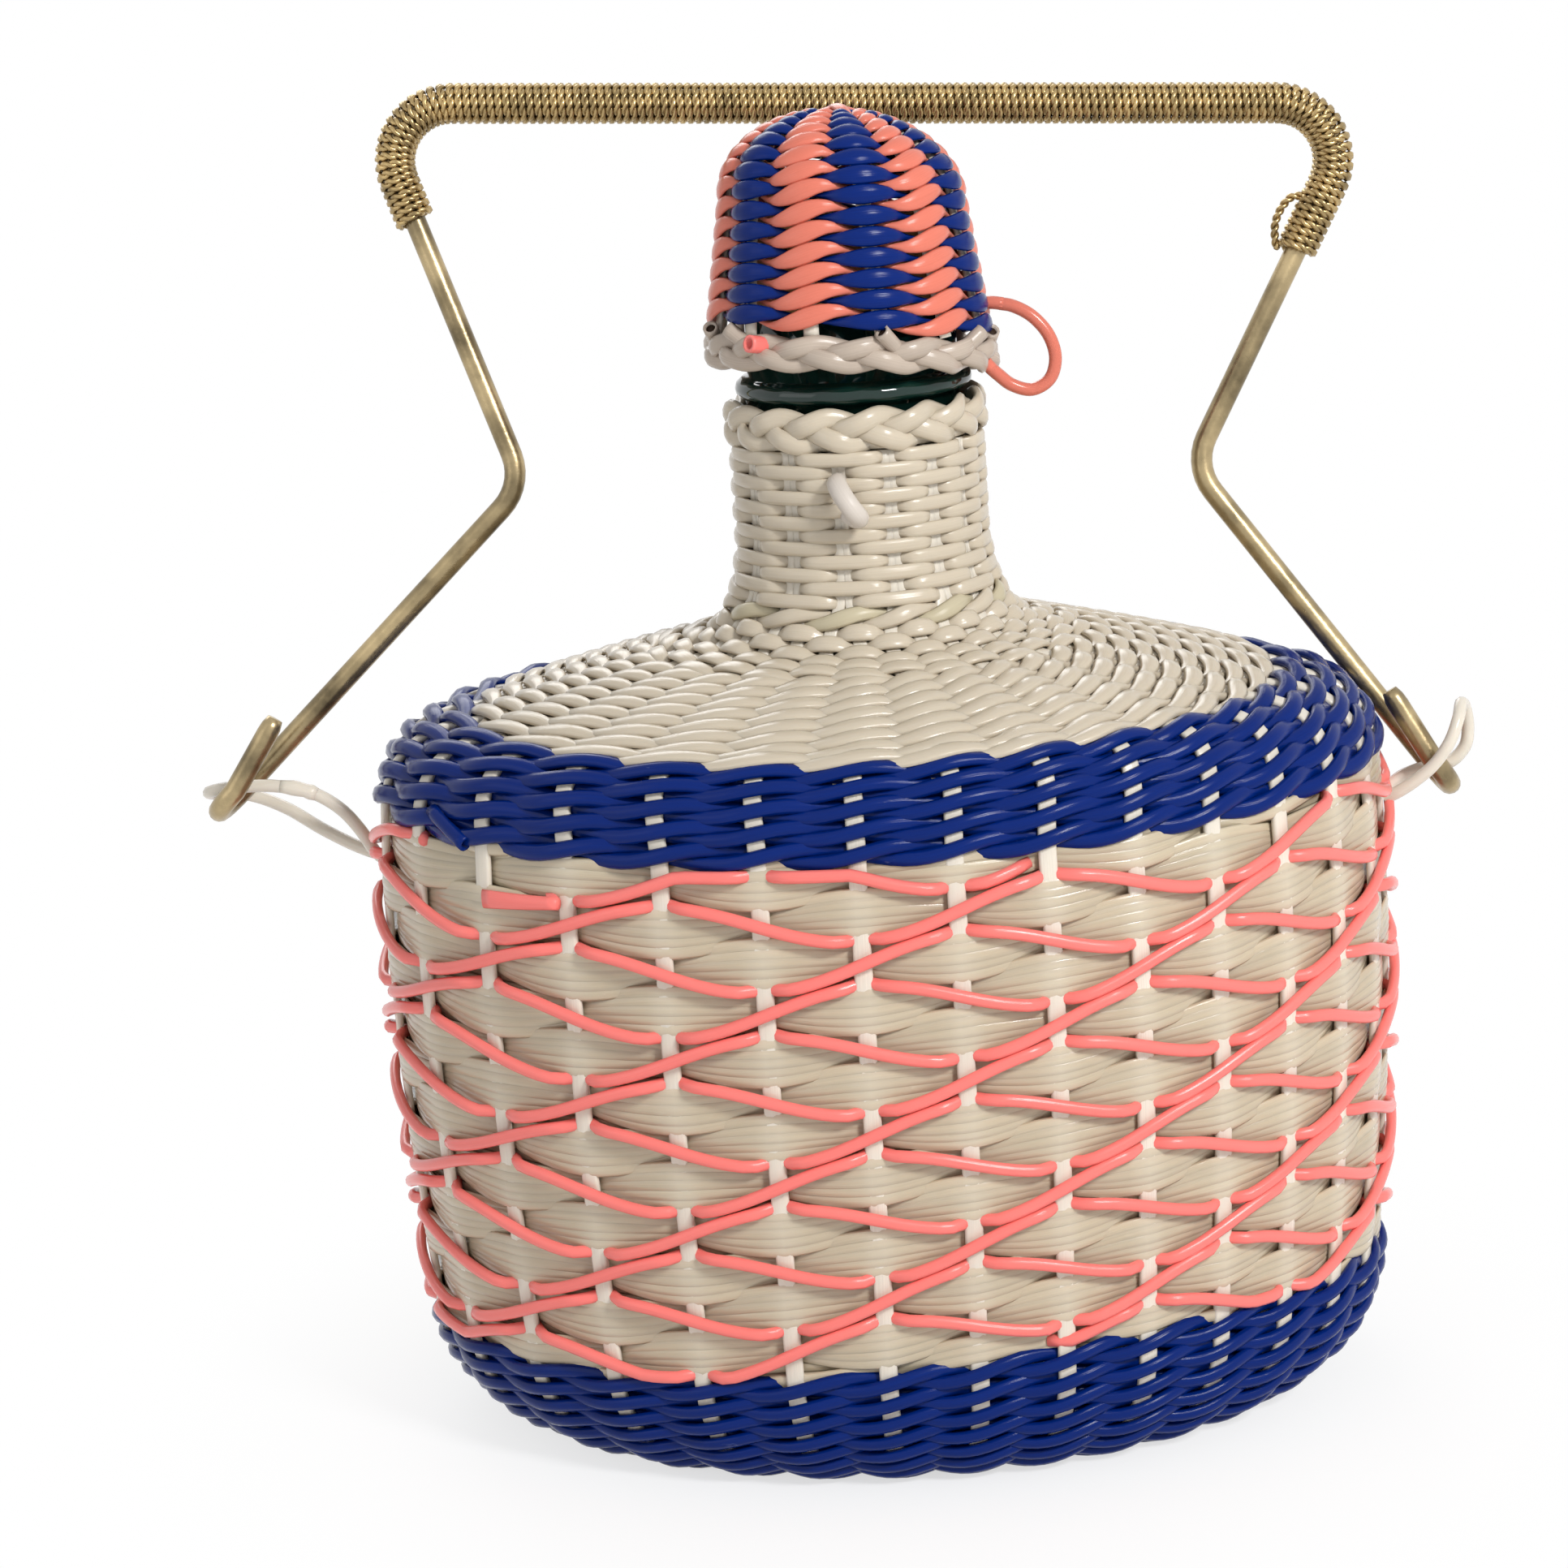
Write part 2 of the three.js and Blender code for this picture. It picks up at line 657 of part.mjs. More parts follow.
function windingRings() {
  const line = gripLine();
  const length = line.getLength();
  const pitch = length / (WINDING_LOOPS + 1);
  const halfWidth = (pitch - WINDING_SPACE) / 2;
  const inset = halfWidth - WINDING_CHAMFER;
  const middleRadius = (windingInner + windingOuter) / 2;
  const section = [
    [-halfWidth, middleRadius],
    [-inset, windingInner],
    [0, windingInner],
    [inset, windingInner],
    [halfWidth, middleRadius],
    [inset, windingOuter],
    [0, windingOuter],
    [-inset, windingOuter],
  ];
  const side = new THREE.Vector3(0, 1, 0);
  const reach = 1;
  const steps = WINDING_LOOPS * WINDING_STEPS;
  return Array.from({ length: steps + 1 }, (_, step) => {
    const turn = (2 * Math.PI * step) / WINDING_STEPS;
    const along = pitch / 2 + (pitch * step) / WINDING_STEPS;
    return section.map(([offset, radius]) => {
      const at = (along + offset) / length;
      const ahead = line.getPoint(Math.min(1, at + reach / length));
      const behind = line.getPoint(Math.max(0, at - reach / length));
      const tangent = ahead.sub(behind).normalize();
      const across = tangent.cross(side);
      const spoke = side.clone().multiplyScalar(Math.cos(turn)).addScaledVector(across, Math.sin(turn));
      return line.getPoint(at).addScaledVector(spoke, radius);
    });
  });
}

// Runs each end of the tube on straight for its own thickness
function withStraightEnds(rings) {
  const run = (end, inner) => end.map((point, index) => {
    const onward = point.clone().sub(inner[index]).normalize();
    return point.clone().addScaledVector(onward, WINDING_THICKNESS);
  });
  return [run(rings[0], rings[1]), ...rings, run(rings.at(-1), rings.at(-2))];
}

function leastGap(rings) {
  let least = Infinity;
  for (let i = 0; i < rings.length; i += 1) {
    for (let j = i + WINDING_STEPS / 2; j < rings.length; j += 1) {
      for (const one of rings[i]) {
        for (const other of rings[j]) {
          least = Math.min(least, one.distanceTo(other));
        }
      }
    }
  }
  return least;
}

const grip = withStraightEnds(windingRings());
console.log(`grip_winding: least gap to itself ${leastGap(grip).toFixed(2)} mm`);
addPiece(bail, 'grip_winding', loftCapped(grip), 'gold');

// The bail leans back just far enough for the hood to lift past its grip
const gripSetback = RIM_RADIUS + windingOuter + BAIL_CAP_CLEARANCE - HINGE_Y - HOOK_RADIUS;
const bailLean = Math.asin(gripSetback / BAIL_HEIGHT);
bail.rotation.set(-bailLean, BAIL_TILT, 0, 'YXZ');
bail.position.set(BAIL_SHIFT, HINGE_Y, HINGE_Z);
bottle.add(bail);

// White cord loops that hold the hooks to the sides of the wall
const LEFT_LOOP_ROUTE = [
  [-97.0, 4.4, 109.5],
  [-98.8, 4.6, 111.0],
  [-101.4, 5.0, 115.4],
  [-105.0, 5.4, 119.8],
  [-110.6, 5.8, 123.4],
  [-117.6, 6.0, 125.0],
  [-124.4, 6.2, 125.2],
  [-129.4, 8.2, 124.4],
  [-132.0, 12.8, 122.8],
  [-129.8, 17.6, 121.4],
  [-125.0, 19.6, 120.4],
  [-118.0, 17.6, 118.0],
  [-110.0, 14.0, 113.8],
  [-103.0, 10.8, 110.8],
  [-98.8, 9.0, 109.6],
  [-97.0, 8.6, 109.4],
];
const RIGHT_LOOP_ROUTE = [
  [97.2, -3.0, 113.1],
  [99.0, -3.8, 113.9],
  [102.6, -4.6, 116.2],
  [106.4, -5.0, 119.4],
  [109.6, -4.6, 123.6],
  [111.6, -2.6, 127.8],
  [112.6, 1.0, 129.8],
  [113.8, 4.6, 128.0],
  [114.4, 6.2, 124.0],
  [113.8, 6.4, 120.2],
  [110.8, 6.3, 117.2],
  [106.2, 6.1, 116.5],
  [101.6, 5.4, 115.2],
  [98.8, 4.6, 113.6],
  [97.0, 4.4, 113.1],
];
addPiece(bottle, 'left_bail_loop', cordTube(LEFT_LOOP_ROUTE, LOOP_RADIUS, 26), 'white');
addPiece(bottle, 'right_bail_loop', cordTube(RIGHT_LOOP_ROUTE, LOOP_RADIUS, 22), 'white');

export default bottle;
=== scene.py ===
import math

import bmesh
import bpy
import numpy as np
from mathutils import Matrix, Vector


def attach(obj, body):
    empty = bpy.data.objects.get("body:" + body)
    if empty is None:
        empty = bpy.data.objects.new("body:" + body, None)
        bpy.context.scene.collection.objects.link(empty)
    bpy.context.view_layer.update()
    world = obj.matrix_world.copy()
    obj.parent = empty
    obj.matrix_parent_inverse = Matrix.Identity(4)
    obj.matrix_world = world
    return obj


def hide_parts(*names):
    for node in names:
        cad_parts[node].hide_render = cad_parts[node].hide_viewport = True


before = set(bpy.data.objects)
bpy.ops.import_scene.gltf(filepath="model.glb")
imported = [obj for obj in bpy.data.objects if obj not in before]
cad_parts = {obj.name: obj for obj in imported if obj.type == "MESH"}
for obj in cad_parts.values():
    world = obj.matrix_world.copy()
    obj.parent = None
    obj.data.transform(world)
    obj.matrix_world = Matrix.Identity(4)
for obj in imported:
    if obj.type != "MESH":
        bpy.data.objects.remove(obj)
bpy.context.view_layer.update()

bl_info = {
    "name": "Woven Cord Bottle",
    "version": (1, 0, 0),
    "blender": (4, 5, 0),
    "location": "View3D > Sidebar > Bottle",
    "description": "Dresses an oval glass bottle in woven plastic cord, with a hood and a wire bail",
    "category": "Object",
}

# Lengths in the weaving sums are millimetres, and meshes are metres
MM = 0.001

# Upright stakes: their count, and how their spacing drifts round the body
STAKES = 29
STAKE_PHASE = -0.02
STAKE_DRIFT = 0.62
STAKE_DRIFT_FROM = 20.3
FRONT_STAKE = 17.0

# Rounds of weave start at the back, and step up to the next row over the last share of a turn
BACK_STAKE = 4.6
STEP_SHARE = 0.16
TWINE_SEED = 32

# Glass, and the strands against it: depths below the woven surface
BACKING_DEPTH = 4.1
GLASS_OUTER = 4.6
GLASS_INNER = 7.6
GLASS_SIDES = 96

# Where the swung bail's leg lies on the weave: angles round the body, lengths off the shoulder band's
# edges, and how much deeper the weave lies there
PRESS_FROM = (0.22, 0.36)
PRESS_TO = (0.62, 0.78)
PRESS_BELOW = (11.0, 4.0)
PRESS_ABOVE = 7.0
TWINE_PRESS = 1.2
STAKE_PRESS = 1.25
CORAL_PRESS = 1.55

# The wall's rows, and the coral strands on them
WALL_STRANDS = 3
WALL_TURNS = 4
WALL_STEPS = 8
ROW_PITCH = 8.0
ROW_SHIFT = 2.4
CORAL_SPLICE = (109.5, 110.9)
CORAL_DEPTH = 0.45
CORAL_TUCK_DEPTH = 3.9

# How far below the shoulder's top edge the neck's weave starts
SHOULDER_MARGIN = 7.8

# Hood: its outline by radius and height, and how far its stakes lean, in stakes over a length
HOOD_STAKES = 12
HOOD_TWIST = 0.25
HOOD_TWIST_LENGTH = 50.0
HOOD_FOOT = np.array([27.5, 207.6])
HOOD_WAIST = np.array([23.5, 232.9])
HOOD_DOME_RISE = 17.0
RIM_RADIUS = 28.35

# Bail, in its own frame, whose hinge line is its X axis
HINGE = (-2.5, 6.0, 121.2)
BAIL_TILT = math.radians(1.7)
BAIL_CLEARANCE = 2.0
BAIL_HEIGHT = 130.0
BAIL_CORNER_X = 97.0
BAIL_CORNER_ROUND = 11.0
BAIL_BAR_SHIFT = 3.3
BAIL_BAR_DROP = 2.9
BAIL_BEND_X = 65.3
BAIL_BEND_Z = 58.0
BAIL_BEND_ROUND = 10.0
HOOK_X = 98.0
HOOK_RADIUS = 6.0
HOOK_RETURN = 16.0
HOOK_RETURN_LEAN = math.radians(31.0)
HOOK_REACH_LEFT = 24.0
HOOK_REACH_RIGHT = 11.5
GRIP_RADIUS = 4.15
GRIP_TURNS = 147
GRIP_DROP_LEFT = 9.0
GRIP_DROP_RIGHT = 15.0

# Routes of the free cords, in metres, as in the part's source
LEFT_LOOP_ROUTE = (
    (-0.0970, 0.0044, 0.1095),
    (-0.0988, 0.0046, 0.1110),
    (-0.1014, 0.0050, 0.1154),
    (-0.1050, 0.0054, 0.1198),
    (-0.1106, 0.0058, 0.1234),
    (-0.1176, 0.0060, 0.1250),
    (-0.1244, 0.0062, 0.1252),
    (-0.1294, 0.0082, 0.1244),
    (-0.1320, 0.0128, 0.1228),
    (-0.1298, 0.0176, 0.1214),
    (-0.1250, 0.0196, 0.1204),
    (-0.1180, 0.0176, 0.1180),
    (-0.1100, 0.0140, 0.1138),
    (-0.1030, 0.0108, 0.1108),
    (-0.0988, 0.0090, 0.1096),
    (-0.0970, 0.0086, 0.1094),
)
RIGHT_LOOP_ROUTE = (
    (0.0972, -0.0030, 0.1131),
    (0.0990, -0.0038, 0.1139),
    (0.1026, -0.0046, 0.1162),
    (0.1064, -0.0050, 0.1194),
    (0.1096, -0.0046, 0.1236),
    (0.1116, -0.0026, 0.1278),
    (0.1126, 0.0010, 0.1298),
    (0.1138, 0.0046, 0.1280),
    (0.1144, 0.0062, 0.1240),
    (0.1138, 0.0064, 0.1202),
    (0.1108, 0.0063, 0.1172),
    (0.1062, 0.0061, 0.1165),
    (0.1016, 0.0054, 0.1152),
    (0.0988, 0.0046, 0.1136),
    (0.0970, 0.0044, 0.1131),
)
HOOD_LOOP_ROUTE = (
    (0.0284, -0.0020, 0.2118),
    (0.0306, -0.0022, 0.2113),
    (0.0342, -0.0026, 0.2092),
    (0.0372, -0.0030, 0.2054),
    (0.0382, -0.0034, 0.2010),
    (0.0369, -0.0038, 0.1973),
    (0.0335, -0.0042, 0.1956),
    (0.0297, -0.0046, 0.1968),
    (0.0274, -0.0050, 0.1988),
    (0.0259, -0.0054, 0.2003),
)

# Route of the neck's tab, in millimetres
TAB_ROUTE = (
    (-3.6, -24.2, 183.4),
    (-3.5, -26.9, 183.2),
    (-2.6, -29.0, 181.6),
    (-1.2, -29.9, 179.4),
    (0.0, -29.4, 177.6),
    (0.3, -28.0, 176.7),
    (-0.6, -26.9, 176.9),
    (-1.8, -25.6, 177.6),
)


def length_property(label, text, metres):
    return bpy.props.FloatProperty(name=label, description=text, default=metres, unit="LENGTH", precision=4)


def colour_property(label, text, colour):
    return bpy.props.FloatVectorProperty(name=label, description=text, default=colour, size=3,
                                         subtype="COLOR", min=0.0, max=1.0)


class BottleSizes(bpy.types.PropertyGroup):
    """Sizes of the woven body, its cords and stakes, and the bail's rod"""

    foot_width: length_property("Foot width", "Width of the flat underside", 0.140)
    foot_depth: length_property("Foot depth", "Depth of the flat underside", 0.108)
    wall_foot_width: length_property("Wall foot width", "Width at the top of the base band", 0.190)
    wall_foot_depth: length_property("Wall foot depth", "Depth at the top of the base band", 0.135)
    wall_foot_height: length_property("Wall foot height", "Height of the base band", 0.025)
    body_width: length_property("Body width", "Width at the top of the wall", 0.196)
    body_depth: length_property("Body depth", "Depth at the top of the wall", 0.138)
    wall_top_height: length_property("Wall top height", "Height of the wall's top edge", 0.121)
    wall_swell: length_property("Wall swell", "How far the wall bellies out", 0.0035)
    band_top_width: length_property("Band top width", "Width at the top of the shoulder band", 0.154)
    band_top_depth: length_property("Band top depth", "Depth at the top of the shoulder band", 0.120)
    band_top_height: length_property("Band top height", "Height of the shoulder band's top edge", 0.1415)
    shoulder_top_radius: length_property("Shoulder top radius", "Radius at the foot of the neck", 0.033)
    shoulder_top_height: length_property("Shoulder top height", "Height of the foot of the neck", 0.1525)
    neck_radius: length_property("Neck radius", "Radius of the woven neck", 0.0245)
    neck_foot_height: length_property("Neck foot height", "Height where the neck is upright", 0.170)
    neck_top_height: length_property("Neck top height", "Height of the weave's top edge", 0.1884)
    coral_cord: length_property("Coral cord", "Thickness of the coral strand", 0.0024)
    loop_cord: length_property("Loop cord", "Thickness of the loose cord loops", 0.0025)
    stake_width: length_property("Stake width", "Width of an upright stake", 0.0034)
    rod: length_property("Rod", "Thickness of the bail's rod", 0.0042)


class BottleColours(bpy.types.PropertyGroup):
    """Colours of the cords, the glass and the metal"""

    blue: colour_property("Blue", "Deep blue cord", (0.0008, 0.0165, 0.15))
    coral: colour_property("Coral", "Coral cord on the wall", (0.93, 0.20, 0.175))
    salmon: colour_property("Salmon", "Coral cord on the hood", (0.70, 0.185, 0.125))
    cream: colour_property("Cream", "Cream cord", (0.57, 0.495, 0.385))
    beige: colour_property("Beige", "Slightly clear beige cord", (0.53, 0.445, 0.315))
    white: colour_property("White", "Off-white stakes and loops", (0.74, 0.68, 0.58))
    grey: colour_property("Grey", "Greyed cord of the hood's rim", (0.47, 0.39, 0.32))
    glass: colour_property("Glass", "Dark green glass", (0.006, 0.034, 0.026))
    brass: colour_property("Brass", "Worn gold rod", (0.36, 0.28, 0.155))
    gold: colour_property("Gold", "Gold cord of the grip", (0.36, 0.26, 0.12))
    cork: colour_property("Cork", "Cork", (0.42, 0.22, 0.09))


def sizes():
    return bpy.context.scene.bottle_sizes


def colours():
    return bpy.context.scene.bottle_colours


# Shader groups and materials


def fill(node, inputs):
    for name, value in inputs.items():
        node.inputs[name].default_value = value


def add_node(tree, kind, inputs=None, **values):
    """A new node with its settings, and the values of inputs that aren't linked."""
    node = tree.nodes.new(kind)
    for name, value in values.items():
        setattr(node, name, value)
    fill(node, inputs or {})
    return node


def new_group(name, inputs, outputs):
    """A shader group of plain numbers, with its two end nodes."""
    group = bpy.data.node_groups.new(name, "ShaderNodeTree")
    for in_out, labels in (("INPUT", inputs), ("OUTPUT", outputs)):
        for label in labels:
            group.interface.new_socket(label, in_out=in_out, socket_type="NodeSocketFloat")
    return group, add_node(group, "NodeGroupInput"), add_node(group, "NodeGroupOutput")


def strand_group():
    """Tone, scuff, height and the share of painted light along a cord, from the attributes that each strand
    carries.
    """
    found = bpy.data.node_groups.get("Strand Tone")
    if found:
        return found
    group, entry, leave = new_group("Strand Tone", ("Scale", "Scuff Scale", "Scuff Cut"),
                                    ("Tone", "Scuff", "Height", "Lift"))
    link = group.links.new
    along, tone, turn, lift = (add_node(group, "ShaderNodeAttribute", attribute_name=name).outputs["Fac"]
                               for name in ("along", "tone", "turn", "lift"))
    spread = add_node(group, "ShaderNodeMath", {1: 31.7}, operation="MULTIPLY")
    link(tone, spread.inputs[0])
    place = add_node(group, "ShaderNodeCombineXYZ")
    for socket, value in zip(place.inputs, (along, spread.outputs[0], turn)):
        link(value, socket)
    cloud = add_node(group, "ShaderNodeTexNoise", {"Detail": 3.0})
    link(place.outputs[0], cloud.inputs["Vector"])
    link(entry.outputs["Scale"], cloud.inputs["Scale"])
    blend = add_node(group, "ShaderNodeMix", {0: 0.45}, data_type="FLOAT")
    link(cloud.outputs["Fac"], blend.inputs[2])
    link(tone, blend.inputs[3])
    link(blend.outputs[0], leave.inputs["Tone"])
    where = add_node(group, "ShaderNodeTexCoord")
    stretch = add_node(group, "ShaderNodeMapping", {"Scale": (0.35, 0.35, 1.0)})
    link(where.outputs["Object"], stretch.inputs["Vector"])
    specks = add_node(group, "ShaderNodeTexNoise", {"Detail": 6.0, "Roughness": 0.65})
    link(stretch.outputs[0], specks.inputs["Vector"])
    link(entry.outputs["Scuff Scale"], specks.inputs["Scale"])
    cut = add_node(group, "ShaderNodeMath", operation="SUBTRACT")
    link(specks.outputs["Fac"], cut.inputs[0])
    link(entry.outputs["Scuff Cut"], cut.inputs[1])
    gain = add_node(group, "ShaderNodeMath", {1: 9.0}, operation="MULTIPLY", use_clamp=True)
    link(cut.outputs[0], gain.inputs[0])
    link(gain.outputs[0], leave.inputs["Scuff"])
    link(cloud.outputs["Fac"], leave.inputs["Height"])
    link(lift, leave.inputs["Lift"])
    return group


def fleck_group():
    """Patches and fine grain on Object coordinates, for metal, cork and glass."""
    found = bpy.data.node_groups.get("Surface Flecks")
    if found:
        return found
    group, entry, leave = new_group("Surface Flecks", ("Patch Scale", "Grain Scale"), ("Patch", "Grain"))
    where = add_node(group, "ShaderNodeTexCoord")
    for target in ("Patch", "Grain"):
        noise = add_node(group, "ShaderNodeTexNoise", {"Detail": 5.0})
        group.links.new(where.outputs["Object"], noise.inputs["Vector"])
        group.links.new(entry.outputs[f"{target} Scale"], noise.inputs["Scale"])
        group.links.new(noise.outputs["Fac"], leave.inputs[target])
    return group


def new_material(name):
    material = bpy.data.materials.new(name)
    material.use_nodes = True
    tree = material.node_tree
    return material, tree, tree.nodes["Principled BSDF"]


def shade(colour, factor):
    return tuple(min(1.0, channel * factor) for channel in colour) + (1.0,)


def colour_mix(tree, factor, low, high):
    mix = add_node(tree, "ShaderNodeMix", data_type="RGBA")
    for socket, value in ((mix.inputs[6], low), (mix.inputs[7], high)):
        if hasattr(value, "is_linked"):
            tree.links.new(value, socket)
        else:
            socket.default_value = value
    tree.links.new(factor, mix.inputs[0])
    return mix.outputs[2]


def value_range(tree, value, low, high):
    span = add_node(tree, "ShaderNodeMapRange", {"To Min": low, "To Max": high})
    tree.links.new(value, span.inputs["Value"])
    return span.outputs["Result"]


def dress(tree, shader, skin, grain, rough):
    """Link a colour to a shader, and a grain to its roughness."""
    tree.links.new(skin, shader.inputs["Base Color"])
    tree.links.new(value_range(tree, grain, *rough), shader.inputs["Roughness"])


def add_bump(tree, shader, height, strength, distance):
    bump = add_node(tree, "ShaderNodeBump", {"Strength": strength, "Distance": distance})
    tree.links.new(height, bump.inputs["Height"])
    tree.links.new(bump.outputs["Normal"], shader.inputs["Normal"])


def cord_finish(name, colour, contrast, scuff, scuff_cut, rough, soft=0.0, gloss=0.22, painted_glow=None):
    """Glossy plastic cord whose tone drifts along each strand, with pale rubbed marks, and painted light
    where a lighter colour is given for the strand's crossings over stakes.
    """
    found = bpy.data.materials.get(name)
    if found:
        return found
    material, tree, shader = new_material(name)
    scales = {"Scale": 28.0, "Scuff Scale": 260.0, "Scuff Cut": scuff_cut}
    marks = add_node(tree, "ShaderNodeGroup", scales, node_tree=strand_group()).outputs
    body = colour_mix(tree, marks["Tone"], shade(colour, 1.0 - contrast), shade(colour, 1.0 + contrast))
    worn = value_range(tree, marks["Scuff"], 0.0, 0.45)
    skin = colour_mix(tree, worn, body, scuff + (1.0,))
    # Painted light: a lighter colour laid where the strand lies over a stake, standing in for light through
    # the clear cord off the white stake.
    if painted_glow:
        clear = value_range(tree, marks["Lift"], 0.0, 0.6)
        skin = colour_mix(tree, clear, skin, painted_glow + (1.0,))
    dress(tree, shader, skin, marks["Tone"], rough)
    add_bump(tree, shader, marks["Height"], 0.12, 0.0006)
    fill(shader, {"Specular IOR Level": gloss})
    if soft:
        fill(shader, {"Subsurface Weight": soft, "Subsurface Radius": (0.004, 0.003, 0.002),
                      "Subsurface Scale": 0.5})
    return material


def fleck_finish(name, colour, scales, spread, shades, rough, settings, bump=None):
    """Metal, glass or cork: darker and lighter patches, with a grain in the roughness."""
    found = bpy.data.materials.get(name)
    if found:
        return found
    material, tree, shader = new_material(name)
    scales = {"Patch Scale": scales[0], "Grain Scale": scales[1]}
    flecks = add_node(tree, "ShaderNodeGroup", scales, node_tree=fleck_group()).outputs
    patches = value_range(tree, flecks["Patch"], *spread)
    skin = colour_mix(tree, patches, shade(colour, shades[0]), shade(colour, shades[1]))
    dress(tree, shader, skin, flecks["Grain"], rough)
    fill(shader, settings)
    if bump:
        source, strength, distance = bump
        add_bump(tree, shader, flecks[source], strength, distance)
    return material


def blue_cord():
    return cord_finish("Blue Cord", colours().blue, 0.3, (0.25, 0.3, 0.45), 0.7, (0.12, 0.26), gloss=0.13)


def coral_cord():
    return cord_finish("Coral Cord", colours().coral, 0.1, (0.95, 0.6, 0.55), 0.72, (0.14, 0.3), 0.1,
                       gloss=0.4)


def salmon_cord():
    return cord_finish("Salmon Cord", colours().salmon, 0.16, (0.9, 0.6, 0.5), 0.7, (0.14, 0.32), gloss=0.3)


def cream_cord():
    return cord_finish("Cream Cord", colours().cream, 0.1, (0.42, 0.33, 0.22), 0.74, (0.12, 0.3), 0.1,
                       gloss=0.45)


def beige_cord():
    # The last colour is painted light: the beige is painted lighter where it lies over a white stake.
    return cord_finish("Beige Cord", colours().beige, 0.2, (0.68, 0.6, 0.46), 0.66, (0.1, 0.26), 0.15,
                       gloss=0.5, painted_glow=(0.66, 0.58, 0.45))


def white_cord():
    return cord_finish("White Cord", colours().white, 0.08, (0.5, 0.42, 0.3), 0.74, (0.16, 0.34), 0.1,
                       gloss=0.4)


def grey_cord():
    return cord_finish("Rim Cord", colours().grey, 0.22, (0.75, 0.68, 0.6), 0.7, (0.16, 0.34), gloss=0.4)


def painted_shade_bore():
    # Near-black colour for tubes inside the rim's cut ends: painted shade in the hollows of the cords.
    return cord_finish("Painted Shade Bore", (0.03, 0.015, 0.008), 0.2, (0.1, 0.07, 0.05), 0.8, (0.6, 0.8))


def grey_white():
    return cord_finish("Tab Cord", (0.62, 0.56, 0.5), 0.1, (0.85, 0.8, 0.75), 0.7, (0.25, 0.42))


def olive_cord():
    return cord_finish("Olive Cord", (0.53, 0.47, 0.33), 0.12, (0.7, 0.62, 0.45), 0.72, (0.16, 0.32))


def green_glass():
    return fleck_finish("Green Glass", colours().glass, (60.0, 400.0), (0.0, 1.0), (0.7, 1.3), (0.02, 0.08),
                        {"Transmission Weight": 0.35, "IOR": 1.5})


def cork_bark():
    return fleck_finish("Cork Bark", colours().cork, (130.0, 700.0), (-0.8, 1.8), (0.45, 1.35), (0.75, 0.98),
                        {}, ("Patch", 0.5, 0.0008))


def worn_brass():
    return fleck_finish("Worn Brass", colours().brass, (110.0, 900.0), (-0.6, 1.6), (0.35, 1.6), (0.2, 0.42),
                        {"Metallic": 0.85}, ("Grain", 0.15, 0.0003))


def gold_cord():
    return fleck_finish("Gold Cord", colours().gold, (240.0, 1800.0), (-0.6, 1.6), (0.65, 1.6), (0.2, 0.4),
                        {"Metallic": 0.85}, ("Grain", 0.15, 0.0003))


# Strands: an oval section swept along points that lie on a surface


def unit(vectors):
    return vectors / np.maximum(np.linalg.norm(vectors, axis=-1, keepdims=True), 1e-9)


def ease(low, high, value):
    share = np.clip((value - low) / (high - low), 0.0, 1.0)
    return share * share * (3.0 - 2.0 * share)


def travel_along(points):
    """Length of the way to each point of a line."""
    return np.concatenate([[0.0], np.cumsum(np.linalg.norm(np.diff(points, axis=0), axis=1))])


def between_points(where, knots, points):
    """Points of a line, taken straight between its knots."""
    return np.stack([np.interp(where, knots, points[:, axis]) for axis in range(3)], axis=1)


def sharpen(wave, power):
    return np.sign(wave) * np.abs(wave) ** power


